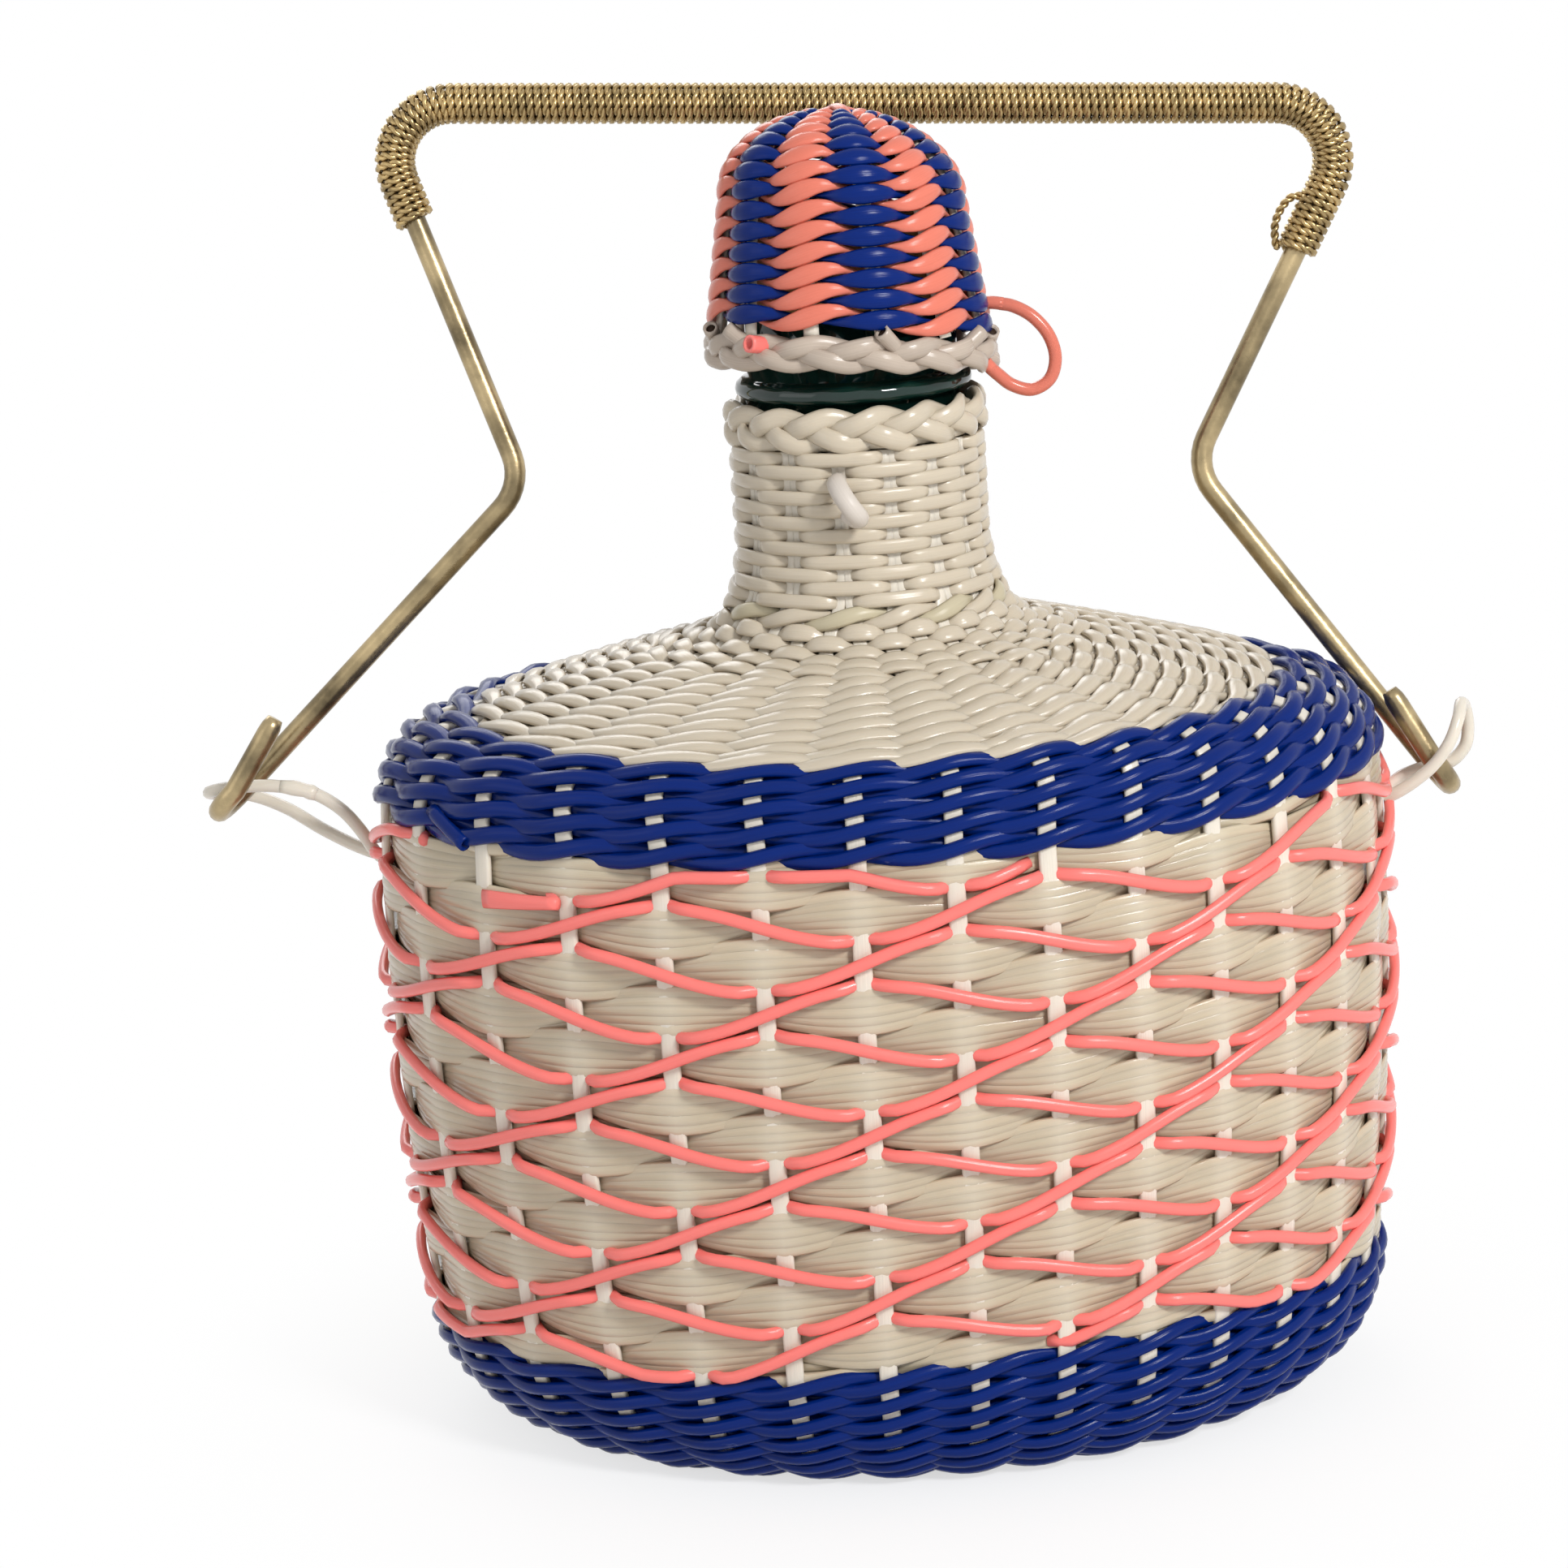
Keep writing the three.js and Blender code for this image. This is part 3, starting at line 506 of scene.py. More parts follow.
class StrandMesh:
    """Collects the swept strands of one piece."""

    def __init__(self):
        self.bm = bmesh.new()
        self.layers = [self.bm.verts.layers.float.new(name) for name in ("along", "tone", "turn", "lift")]

    def sweep(self, points, normals, width, thick, sides=8, tone=0.5, hollow=False, square=1.0, lift=0.0):
        """Roll a grid into a tube along the points, its width lying across the normals, oval or squarer."""
        points = np.asarray(points, float)
        count = len(points)
        tangents = unit(np.gradient(points, axis=0))
        across = unit(np.cross(np.broadcast_to(normals, points.shape), tangents))
        upward = np.cross(tangents, across)
        width = np.broadcast_to(width, count)[:, None, None] * 0.5
        thick = np.broadcast_to(thick, count)[:, None, None] * 0.5
        angles = np.arange(sides + 1) * 2.0 * math.pi / sides
        spokes = across[:, None, :] * sharpen(np.cos(angles), square)[None, :, None] * width
        spokes = spokes + upward[:, None, :] * sharpen(np.sin(angles), square)[None, :, None] * thick
        rings = points[:, None, :] + spokes
        along = travel_along(points)
        closing = [points[-1] + spokes[-1] * 0.0]
        if hollow:
            bore = points[-1] + spokes[-1] * 0.66
            depth = tangents[-1] * 2.4
            closing = [bore, bore - depth, points[-1] - depth + spokes[-1] * 0.0]
        rings = np.concatenate([[points[0] + spokes[0] * 0.0], rings, closing]) * MM
        along = np.concatenate([[0.0], along, np.full(len(closing), along[-1])]) * MM
        # lift: share of painted light, where a strand is painted lighter over a stake.
        lift = np.broadcast_to(lift, count)
        lift = np.concatenate([lift[:1], lift, np.full(len(closing), lift[-1])])
        self.roll(rings, along, tone, sides, lift)

    def roll(self, rings, along, tone, sides, lift):
        """Lay a flat grid of squares on the rings and close its seam."""
        rows = len(rings) - 1
        sheet = bmesh.ops.create_grid(self.bm, x_segments=sides, y_segments=rows, size=1.0)["verts"]
        for vertex in sheet:
            corner = round((vertex.co.x + 1.0) * 0.5 * sides)
            row = round((vertex.co.y + 1.0) * 0.5 * rows)
            vertex.co = rings[row, corner]
            vertex[self.layers[0]] = along[row]
            vertex[self.layers[1]] = tone
            vertex[self.layers[2]] = abs(2.0 * corner / sides - 1.0)
            vertex[self.layers[3]] = lift[row]
        bmesh.ops.remove_doubles(self.bm, verts=sheet, dist=1e-7)

    def piece(self, name, material, body, nodes, slot):
        """Turn the strands into an object that rides on a body."""
        self.bm.normal_update()
        place_piece(name, self.bm, material, body, nodes)


def place_piece(name, bm, material, body, nodes):
    mesh = bpy.data.meshes.new(name)
    bm.to_mesh(mesh)
    bm.free()
    mesh.shade_smooth()
    piece = bpy.data.objects.new(name, mesh)
    bpy.context.scene.collection.objects.link(piece)
    mesh.materials.append(material)
    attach(piece, body)
    if nodes:
        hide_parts(*nodes)


def smooth_route(points, count):
    """Centripetal curve through given points, evenly spaced."""
    points = np.asarray(points, float)
    ends = np.vstack([2 * points[0] - points[1], points, 2 * points[-1] - points[-2]])
    dense = []
    for index in range(1, len(ends) - 2):
        p0, p1, p2, p3 = ends[index - 1:index + 3]
        knots = [0.0]
        for start, end in ((p0, p1), (p1, p2), (p2, p3)):
            knots.append(knots[-1] + math.sqrt(max(np.linalg.norm(end - start), 1e-9)))
        t0, t1, t2, t3 = knots
        for t in np.linspace(t1, t2, 24, endpoint=False):
            a1 = p0 * (t1 - t) / (t1 - t0) + p1 * (t - t0) / (t1 - t0)
            a2 = p1 * (t2 - t) / (t2 - t1) + p2 * (t - t1) / (t2 - t1)
            a3 = p2 * (t3 - t) / (t3 - t2) + p3 * (t - t2) / (t3 - t2)
            b1 = a1 * (t2 - t) / (t2 - t0) + a2 * (t - t0) / (t2 - t0)
            b2 = a2 * (t3 - t) / (t3 - t1) + a3 * (t - t1) / (t3 - t1)
            dense.append(b1 * (t2 - t) / (t2 - t1) + b2 * (t - t1) / (t2 - t1))
    dense.append(points[-1])
    dense = np.array(dense)
    travel = travel_along(dense)
    return between_points(np.linspace(0.0, travel[-1], count), travel, dense)


def bezier(controls, count):
    controls = np.asarray(controls, float)
    t = np.linspace(0.0, 1.0, count)[:, None]
    degree = len(controls) - 1
    shares = [math.comb(degree, k) * (1 - t) ** (degree - k) * t ** k for k in range(degree + 1)]
    return sum(share * control for share, control in zip(shares, controls))


# Woven surfaces, by place round them and by length up their outline


class Outline:
    """Lengths along an outline, and which way its surface faces."""

    def measure(self, outline):
        self.length = travel_along(outline)
        slope = unit(np.gradient(outline, axis=0))
        self.out = slope[:, 1]
        self.rise = -slope[:, 0]

    def facing(self, along):
        return np.interp(along, self.length, self.out), np.interp(along, self.length, self.rise)


class BodySurface(Outline):
    """Outline of the woven body from the middle of the underside to the neck's top edge."""

    def __init__(self):
        s = sizes()
        half = 0.5 / MM

        def station(width, depth, height):
            return np.array([width * half, depth * half, height / MM])

        centre = np.array([9.0, 6.6, 0.0])
        foot = station(s.foot_width, s.foot_depth, 0.0)
        wall_foot = station(s.wall_foot_width, s.wall_foot_depth, s.wall_foot_height)
        wall_top = station(s.body_width, s.body_depth, s.wall_top_height)
        band_top = station(s.band_top_width, s.band_top_depth, s.band_top_height)
        shoulder_top = station(2 * s.shoulder_top_radius, 2 * s.shoulder_top_radius, s.shoulder_top_height)
        neck_foot = station(2 * s.neck_radius, 2 * s.neck_radius, s.neck_foot_height)
        neck_top = station(2 * s.neck_radius, 2 * s.neck_radius, s.neck_top_height)

        def between(start, end, share, rise):
            point = start + (end - start) * share
            point[2] = start[2] + (end[2] - start[2]) * rise
            return point

        swell = np.array([1.0, 1.0, 0.0]) * s.wall_swell / MM
        round_arc = 0.5523
        runs = {
            "mat": [centre, foot],
            "base": [foot, between(foot, wall_foot, round_arc, 0), between(foot, wall_foot, 1, 1 - round_arc),
                     wall_foot],
            "wall": [wall_foot, between(wall_foot, wall_top, 0.6, 0.6) + swell, wall_top],
            "band": [wall_top, between(wall_top, band_top, 0, 0.65), between(wall_top, band_top, 0.42, 0.98),
                     band_top],
            "shoulder": [band_top, between(band_top, shoulder_top, 0.5, 0.56), shoulder_top],
            "fillet": [shoulder_top, between(shoulder_top, neck_foot, 0.85, 0.16), neck_foot],
            "neck": [neck_foot, neck_top],
        }
        pieces = []
        marks = [0]
        for controls in runs.values():
            samples = bezier(controls, 60)
            pieces.append(samples if not pieces else samples[1:])
            marks.append(marks[-1] + len(pieces[-1]) - (1 if len(pieces) == 1 else 0))
        self.line = np.vstack(pieces)
        self.measure(np.stack([(self.line[:, 0] + self.line[:, 1]) / 2, self.line[:, 2]], axis=1))
        self.runs = {}
        for name, low, high in zip(runs, marks, marks[1:]):
            self.runs[name] = (self.length[low], self.length[min(high, len(self.length) - 1)])
        self.wall_top = wall_top[2]
        self.shoulder_top = shoulder_top[2]
        self.turn = np.linspace(0.0, 2.0 * math.pi, 1441)
        ring = np.stack([wall_top[0] * np.cos(self.turn), wall_top[1] * np.sin(self.turn)], axis=1)
        travel = travel_along(ring)
        self.share = travel / travel[-1]

    def height(self, along):
        return np.interp(along, self.length, self.line[:, 2])

    def angle(self, place, height):
        drift = STAKE_DRIFT * np.cos(2.0 * math.pi * (place - STAKE_DRIFT_FROM) / STAKES)
        share = np.mod((place + STAKE_PHASE + drift) / STAKES, 1.0)
        on_oval = np.interp(share, self.share, self.turn)
        roundness = ease(self.wall_top, self.shoulder_top, height)
        return on_oval + (2.0 * math.pi * share - on_oval) * roundness

    def band_edge(self, place):
        """Length up the outline of the shoulder band's top edge, which dips at the front and back."""
        angle = self.angle(place, self.shoulder_top - 11.0)
        return self.runs["shoulder"][0] - 3.1 + 3.3 * np.cos(2.0 * angle)

    def settle(self, angle, along):
        """How far the rows lie off the level: the wall's top edge rises at the sides and its foot leans."""
        across = np.cos(angle)
        base, wall, band = (self.runs[name][0] for name in ("base", "wall", "band"))
        top = np.interp(along, [wall, band, self.runs["band"][1]], [0.0, 1.0, 0.0])
        foot = np.interp(along, [base, wall, band], [0.0, 1.0, 0.0])
        return 3.4 * np.abs(across) ** 3 * top + 6.5 * across * (1.0 - 0.75 * across ** 2) * foot

    def press(self, place, along):
        """Share by which the weave is pressed flat at the right rear, under the swung bail's leg."""
        angle = np.mod(self.angle(place, self.height(along)), 2.0 * math.pi)
        low, high = self.runs["band"]
        around = ease(*PRESS_FROM, angle) * (1.0 - ease(*PRESS_TO, angle))
        upward = ease(low - PRESS_BELOW[0], low - PRESS_BELOW[1], along)
        return around * upward * (1.0 - ease(high - PRESS_ABOVE, high, along))

    def at_height(self, height):
        """Length up the outline at which the body reaches a height, above the base."""
        start = np.searchsorted(self.length, self.runs["base"][0])
        return float(np.interp(height, self.line[start:, 2], self.length[start:]))

    def points(self, place, along, depth):
        place = np.asarray(place, float)
        along = np.asarray(along, float)
        angle = self.angle(place, self.height(along))
        along = along + self.settle(angle, along)
        a, b, z = (np.interp(along, self.length, self.line[:, axis]) for axis in range(3))
        out, rise = self.facing(along)
        flat = unit(np.stack([np.cos(angle) / a, np.sin(angle) / b], axis=-1))
        normals = unit(np.concatenate([flat * out[..., None], rise[..., None]], axis=-1))
        points = np.stack([a * np.cos(angle), b * np.sin(angle), z], axis=-1)
        return points - normals * np.asarray(depth)[..., None], normals


def rounds(x):
    """Row reached after a count of stakes: level, with a step up at the back."""
    turn = x / STAKES
    return np.floor(turn) + ease(1.0 - STEP_SHARE, 1.0, turn - np.floor(turn)) + 0.5


def once_round(steps):
    """Places once round the body from the back, by steps in each gap between stakes."""
    return BACK_STAKE + np.linspace(0.0, STAKES, STAKES * steps + 1)


def level_strand(surface, mesh, place, along, depth, width, tone):
    """A flat strand that goes round behind the stakes, against the glass."""
    points, normals = surface.points(place, along, depth)
    mesh.sweep(points, normals, width, 0.7, 6, tone)


def back_strands(surface, mesh, low, high, shares):
    """Level strands behind the stakes, which close the gaps between the rows."""
    place = once_round(4)
    for share in shares:
        along = low(place) + share * (high(place) - low(place))
        level_strand(surface, mesh, place, along, BACKING_DEPTH, 5.2, 0.2)


def level_line(value):
    """An edge that stays at one length up the outline."""
    return lambda place: np.full(np.shape(place), value)


def twine(surface, mesh, low, high, rows, width, thick, front, back, steps, lean, least):
    """Two strands that twist round each other between stakes, in rounds that step up at the back."""
    x = np.arange(int((rows - STEP_SHARE) * STAKES * steps) + 1) / steps
    place = BACK_STAKE - x
    pitch = (high(place) - low(place)) / rows
    tilt = np.interp(x, [0.0, 2.0 * STAKES], lean)
    level = rounds(x)
    tones = np.random.default_rng(TWINE_SEED)
    for strand in range(2):
        phase = math.pi * (x - BACK_STAKE % 1.0 + strand)
        over = (1.0 + np.cos(phase)) / 2.0
        along = low(place) + (level - tilt * np.sin(phase)) * pitch
        depth = (front + back) / 2 - (back - front) / 2 * np.cos(phase)
        pressed = surface.press(place, along) * over
        points, normals = surface.points(place, along, depth + TWINE_PRESS * pressed)
        lens = least + (1.0 - least) * over ** 0.9
        mesh.sweep(points, normals, width(pitch) * lens, thick - pressed, 8, float(tones.uniform(0.3, 0.7)))


class BOTTLE_OT_camera(bpy.types.Operator):
    """Place the camera at the angle of the photograph"""

    bl_idname = "bottle.camera"
    bl_label = "Camera"

    def execute(self, context):
        azimuth, elevation, roll = 0.046, 0.225, -0.064
        distance, aim_right, aim_height = 0.811, -0.01793, 0.1215
        focal_pixels, photo_pixels, sensor = 5177.0, 1932.0, 36.0
        back = Vector((math.sin(azimuth) * math.cos(elevation), -math.cos(azimuth) * math.cos(elevation),
                       math.sin(elevation)))
        right = Vector((math.cos(azimuth), math.sin(azimuth), 0.0))
        up = back.cross(right)
        rolled_right = right * math.cos(roll) + up * math.sin(roll)
        rolled_up = up * math.cos(roll) - right * math.sin(roll)
        target = right * aim_right + Vector((0.0, 0.0, aim_height))
        lens = bpy.data.cameras.new("Camera")
        lens.sensor_width = sensor
        lens.sensor_fit = "HORIZONTAL"
        lens.lens = sensor * focal_pixels / photo_pixels
        camera = bpy.data.objects.new("Camera", lens)
        turn = Matrix((rolled_right, rolled_up, back)).transposed().to_4x4()
        camera.matrix_world = Matrix.Translation(target + back * distance) @ turn
        context.scene.collection.objects.link(camera)
        context.scene.camera = camera
        return {"FINISHED"}


def cord_curve(name, route, diameter, material, body, node):
    """A free cord as one open spline through its route."""
    points = smooth_route(route, 72)
    curve = bpy.data.curves.new(name, "CURVE")
    curve.dimensions = "3D"
    curve.bevel_depth = diameter / 2
    curve.bevel_resolution = 3
    curve.use_fill_caps = True
    spline = curve.splines.new("POLY")
    spline.points.add(len(points) - 1)
    for knot, place in zip(spline.points, points):
        knot.co = (*place, 1.0)
    spline.use_smooth = True
    piece = bpy.data.objects.new(name, curve)
    bpy.context.scene.collection.objects.link(piece)
    curve.materials.append(material)
    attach(piece, body)
    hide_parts(node)


class BOTTLE_OT_cords(bpy.types.Operator):
    """Hang the bail's two cord loops and the hood's coral loop"""

    bl_idname = "bottle.cords"
    bl_label = "Cord loops"

    def execute(self, context):
        thick = sizes().loop_cord
        loops = (
            ("left_loop_cord", LEFT_LOOP_ROUTE, white_cord(), "bottle", "left_bail_loop"),
            ("right_loop_cord", RIGHT_LOOP_ROUTE, white_cord(), "bottle", "right_bail_loop"),
            ("hood_loop_cord", HOOD_LOOP_ROUTE, salmon_cord(), "hood", "hood_loop"),
        )
        for name, route, finish, body, node in loops:
            cord_curve(name, route, thick, finish, body, node)
        self.add_wrap()
        return {"FINISHED"}

    def add_wrap(self):
        """A wrap of pale tape round the left loop, close to the hook."""
        route = smooth_route(LEFT_LOOP_ROUTE, 72) / MM
        route = route[(route[:, 0] > -117.5) & (route[:, 0] < -108.5) & (route[:, 1] < 7.0)]
        crease = 3.0 + 0.22 * np.sin(np.arange(len(route)) * 2.2)
        crease[[0, -1]] = 2.55
        mesh = StrandMesh()
        mesh.sweep(route, (0.0, 1.0, 0.0), crease, crease, 12, 0.6)
        mesh.piece("left_loop_wrap", white_cord(), "bottle", [], "white_cord")


def neck_place(stake, height):
    """A stake's place, drawn to its partner on the neck."""
    place = np.full_like(height, float(stake))
    if stake == STAKES - 1:
        return place
    partner = stake + 1 if stake % 2 == 0 else stake - 1
    side = -0.18 if stake % 2 == 0 else 0.18
    target = (stake + partner) / 2 + side
    return place + (target - place) * ease(155.0, 162.0, height)


class BOTTLE_OT_stakes(bpy.types.Operator):
    """Set the upright stakes between the glass and the weave"""

    bl_idname = "bottle.stakes"
    bl_label = "Stakes"

    def execute(self, context):
        surface = BodySurface()
        width = sizes().stake_width / MM
        start = surface.runs["mat"][0] + 22.0
        along = np.concatenate([
            np.linspace(start, surface.runs["mat"][1], 10, endpoint=False),
            np.linspace(surface.runs["base"][0], surface.runs["wall"][0], 16, endpoint=False),
            np.linspace(surface.runs["wall"][0], surface.runs["wall"][1], 30, endpoint=False),
            np.linspace(surface.runs["wall"][1], surface.runs["neck"][1], 60),
        ])
        height = surface.height(along)
        mesh = StrandMesh()
        for stake in range(STAKES):
            depth = np.interp(height, [0.0, 20.0, 120.0, 152.0, 165.0], [2.6, 2.3, 2.3, 2.4, 2.6])
            place = neck_place(stake, height)
            depth = depth + STAKE_PRESS * surface.press(place, along)
            points, normals = surface.points(place, along, depth)
            taper = np.interp(along, [start, surface.runs["base"][0]], [0.6, 1.0])
            taper = taper * np.interp(height, [146.0, 163.0], [1.0, 0.62])
            mesh.sweep(points, normals, width * taper, 1.4, 12, (stake * 0.37) % 1.0, square=0.5)
        nodes = [f"stake_{number:02d}" for number in range(1, STAKES + 1)]
        mesh.piece("stake_cords", white_cord(), "bottle", nodes, "white_cord")
        return {"FINISHED"}


class WallRow:
    """The climb of one of the wall's three rows, by steps of one stake to the right."""

    def __init__(self, surface, number, first, last):
        shift = -9.0 - number
        half = WALL_STRANDS * WALL_TURNS / 2
        start = FRONT_STAKE + STAKES * (-half - ROW_SHIFT - shift) / WALL_STRANDS
        self.x = np.linspace(first, last, int(round((last - first) * WALL_STEPS)) + 1)
        self.place = start + self.x
        self.low, self.high = surface.runs["wall"]
        angle = surface.angle(self.place, surface.wall_top / 2)
        climb = ROW_SHIFT + WALL_STRANDS * (self.place - FRONT_STAKE) / STAKES + shift
        self.middle = (self.low + self.high) / 2 + (ROW_PITCH - 0.3 * np.cos(angle)) * climb
        beat = np.mod(self.place - (FRONT_STAKE - 1.0) - shift, 4.0)
        self.sway = np.sin(math.pi * beat / 2.0)
        self.over = 1.0 - np.abs(1.0 - np.mod(beat, 2.0))


class BOTTLE_OT_wall(bpy.types.Operator):
    """Weave the wall: fans of beige strands over one stake and under the next"""

    bl_idname = "bottle.wall"
    bl_label = "Wall weave"

    def execute(self, context):
        surface = BodySurface()
        random = np.random.default_rng(5)
        fan = 5
        for number in range(WALL_STRANDS):
            row = WallRow(surface, number, -10.0, WALL_TURNS * STAKES + 10.0)
            opening = np.sin(math.pi * row.over / 2.0) ** 0.75
            out = np.clip(row.over * 1.08 - 0.06, 0.0, 1.0) ** 0.8
            # Painted light: lift peaks where the strand lies over a stake, and there the beige is painted
            # lighter, standing in for light through the clear cord.
            lift = np.exp(-((row.over - 1.0) / 0.16) ** 2)
            mesh = StrandMesh()
            for index in range(fan):
                offset = index - (fan - 1) / 2
                wander = 0.16 * np.sin(row.x * 0.9 + index * 2.1 + number)
                wander = wander + 0.1 * np.sin(row.x * 0.37 + index)
                along = row.middle - 1.1 * row.sway + (0.7 + 0.98 * opening) * offset + wander
                beyond = np.maximum(row.low - along, 0.0) + np.maximum(along - row.high, 0.0)
                along = np.clip(along, row.low - 3.0, row.high + 3.0)
                depth = 1.75 + 2.05 * (1.0 - out) + np.minimum(beyond, 2.4)
                depth = np.minimum(depth + 0.05 * abs(offset), BACKING_DEPTH)
                points, normals = surface.points(row.place, along, depth)
                tone = float(random.uniform(0.25, 0.75))
                mesh.sweep(points, normals, 2.35 + 0.3 * opening, 0.8, 8, tone, lift=lift)
            if number == 0:
                self.add_backing(mesh, surface, row.low, row.high)
            nodes = ["wall_weave"] if number == 0 else []
            mesh.piece(f"beige_row_{number + 1}", beige_cord(), "bottle", nodes, "beige_cord")
        return {"FINISHED"}

    def add_backing(self, mesh, surface, low, high):
        """Lay level strands behind the stakes, against the glass."""
        place = np.linspace(0.0, STAKES, STAKES * 6 + 1)
        for level in np.arange(low - 0.6, high + 1.0, 2.1):
            depth = 3.9 if min(level - low, high - level) < 3.0 else 4.25
            level_strand(surface, mesh, place, level, depth, 2.3, 0.5)


class BOTTLE_OT_coral(bpy.types.Operator):
    """Lay the three coral strands over the wall, tucked behind every other stake"""

    bl_idname = "bottle.coral"
    bl_label = "Coral strands"

    def execute(self, context):
        surface = BodySurface()
        thick = sizes().coral_cord / MM
        for number in range(WALL_STRANDS):
            row = WallRow(surface, number, 0.0, WALL_TURNS * STAKES)
            under = np.exp(-((row.over - 1.0) / 0.15) ** 2)
            along = np.clip(row.middle + 3.9 * row.sway, row.low + 1.2, row.high - 1.2)
            depth = CORAL_DEPTH + 3.2 * under
            for ending in (row.x - row.x[0], row.x[-1] - row.x):
                depth = depth + 3.0 * np.exp(-ending / 0.3)
            pressed = surface.press(row.place, along)
            depth = np.maximum(np.minimum(depth, CORAL_TUCK_DEPTH), CORAL_DEPTH + CORAL_PRESS * pressed)
            points, normals = surface.points(row.place, along, depth)
            heavy = thick * (0.86 - 0.5 * pressed)
            mesh = StrandMesh()
            spans = [row.x >= 0.0]
            if number == 0:
                spans = [row.x < CORAL_SPLICE[0], row.x > CORAL_SPLICE[1]]
            for span in spans:
                mesh.sweep(points[span], normals[span], thick, heavy[span], 10, 0.35 + 0.15 * number)
            if number == 0:
                self.add_flat_end(mesh, surface)
            node = f"coral_strand_{number + 1}"
            mesh.piece(f"coral_length_{number + 1}", coral_cord(), "bottle", [node], "coral_cord")
        return {"FINISHED"}

    def add_flat_end(self, mesh, surface):
        """The pressed end of the strand, laid on the weave."""
        place = np.linspace(17.95, 17.05, 9)
        points, normals = surface.points(place, np.linspace(177.9, 176.6, 9), np.linspace(0.5, 0.8, 9))
        mesh.sweep(points, normals, np.linspace(2.4, 3.6, 9), np.linspace(2.1, 0.8, 9), 10, 0.9)


class BOTTLE_OT_bands(bpy.types.Operator):
    """Twine the blue bands round the shoulder and the base, and the mat underneath"""

    bl_idname = "bottle.bands"
    bl_label = "Blue bands"

    def execute(self, context):
        surface = BodySurface()
        base = surface.runs["base"]
        mat = surface.runs["mat"]
        bands = (
            ("shoulder_twining", "shoulder_band", level_line(surface.runs["band"][0]), surface.band_edge, 5),
            ("base_twining", "base_band", level_line(base[0]), level_line(base[1]), 8),
            ("mat_twining", "base_mat", level_line(mat[0] + 4.0), level_line(mat[1] - 0.5), 13),
        )
        for name, node, low, high, rows in bands:
            mesh = StrandMesh()
            flat = node == "base_mat"
            front, back = (1.15, 2.7) if flat else (1.05, 3.7)
            steps = 5 if flat else 8
            twine(surface, mesh, low, high, rows, self.width, thick=2.2, front=front, back=back, steps=steps,
                  lean=(0.34, 0.3), least=1.1)
            if flat:
                self.add_boss(mesh)
            else:
                back_strands(surface, mesh, low, high, np.linspace(0.07, 0.93, 7))
            if node == "shoulder_band":
                self.add_cut_end(mesh, surface)
            mesh.piece(name, blue_cord(), "bottle", [node], "blue_cord")
        return {"FINISHED"}

    def width(self, pitch):
        """Width that leaves the stakes to show between the rows."""
        return 0.6 * pitch + 0.15

    def add_cut_end(self, mesh, surface):
        """A short hollow end that hangs over the band's lower edge."""
        share = np.linspace(0.0, 1.0, 8)
        points, normals = surface.points(16.3 + 0.58 * share, 190.6 - 4.6 * share, 1.6 - 1.4 * share)
        mesh.sweep(points, normals, 3.0, 2.7, 10, 0.4, hollow=True)

    def add_boss(self, mesh):
        """Coil a short end of cord in the middle of the mat."""
        turn = np.linspace(0.0, 5.0 * math.pi, 60)
        reach = 1.4 + 10.5 * turn / turn[-1]
        points = [reach * 1.15 * np.cos(turn), reach * 0.85 * np.sin(turn), np.full_like(turn, 1.4)]
        points = np.stack(points, axis=1)
        mesh.sweep(points, (0.0, 0.0, -1.0), 2.6, 2.0, 8, 0.5)


class BOTTLE_OT_shoulder(bpy.types.Operator):
    """Twine the cream shoulder up to the foot of the neck"""

    bl_idname = "bottle.shoulder"
    bl_label = "Shoulder weave"

    def execute(self, context):
        surface = BodySurface()
        mesh = StrandMesh()
        high = level_line(surface.runs["shoulder"][1] - SHOULDER_MARGIN)
        twine(surface, mesh, surface.band_edge, high, 8, self.width, thick=1.8, front=1.0, back=2.9, steps=8,
              lean=(0.38, 0.38), least=0.36)
        back_strands(surface, mesh, surface.band_edge, high, np.linspace(0.0, 0.95, 8))
        mesh.piece("shoulder_twining_cream", cream_cord(), "bottle", ["shoulder_weave"], "cream_cord")
        return {"FINISHED"}

    def width(self, pitch):
        """Width that lets each strand press on the row below it."""
        return pitch * 1.02


def group_of(place):
    """Count of stake groups passed on the neck, where the stakes stand in pairs and one stands alone."""
    centres = [0.5 + 2.0 * pair for pair in range(14)] + [28.0, 29.5]
    turns = np.floor((place - 0.5) / STAKES)
    rest = place - turns * STAKES
    return np.interp(rest, centres, np.arange(16)) + 15.0 * turns


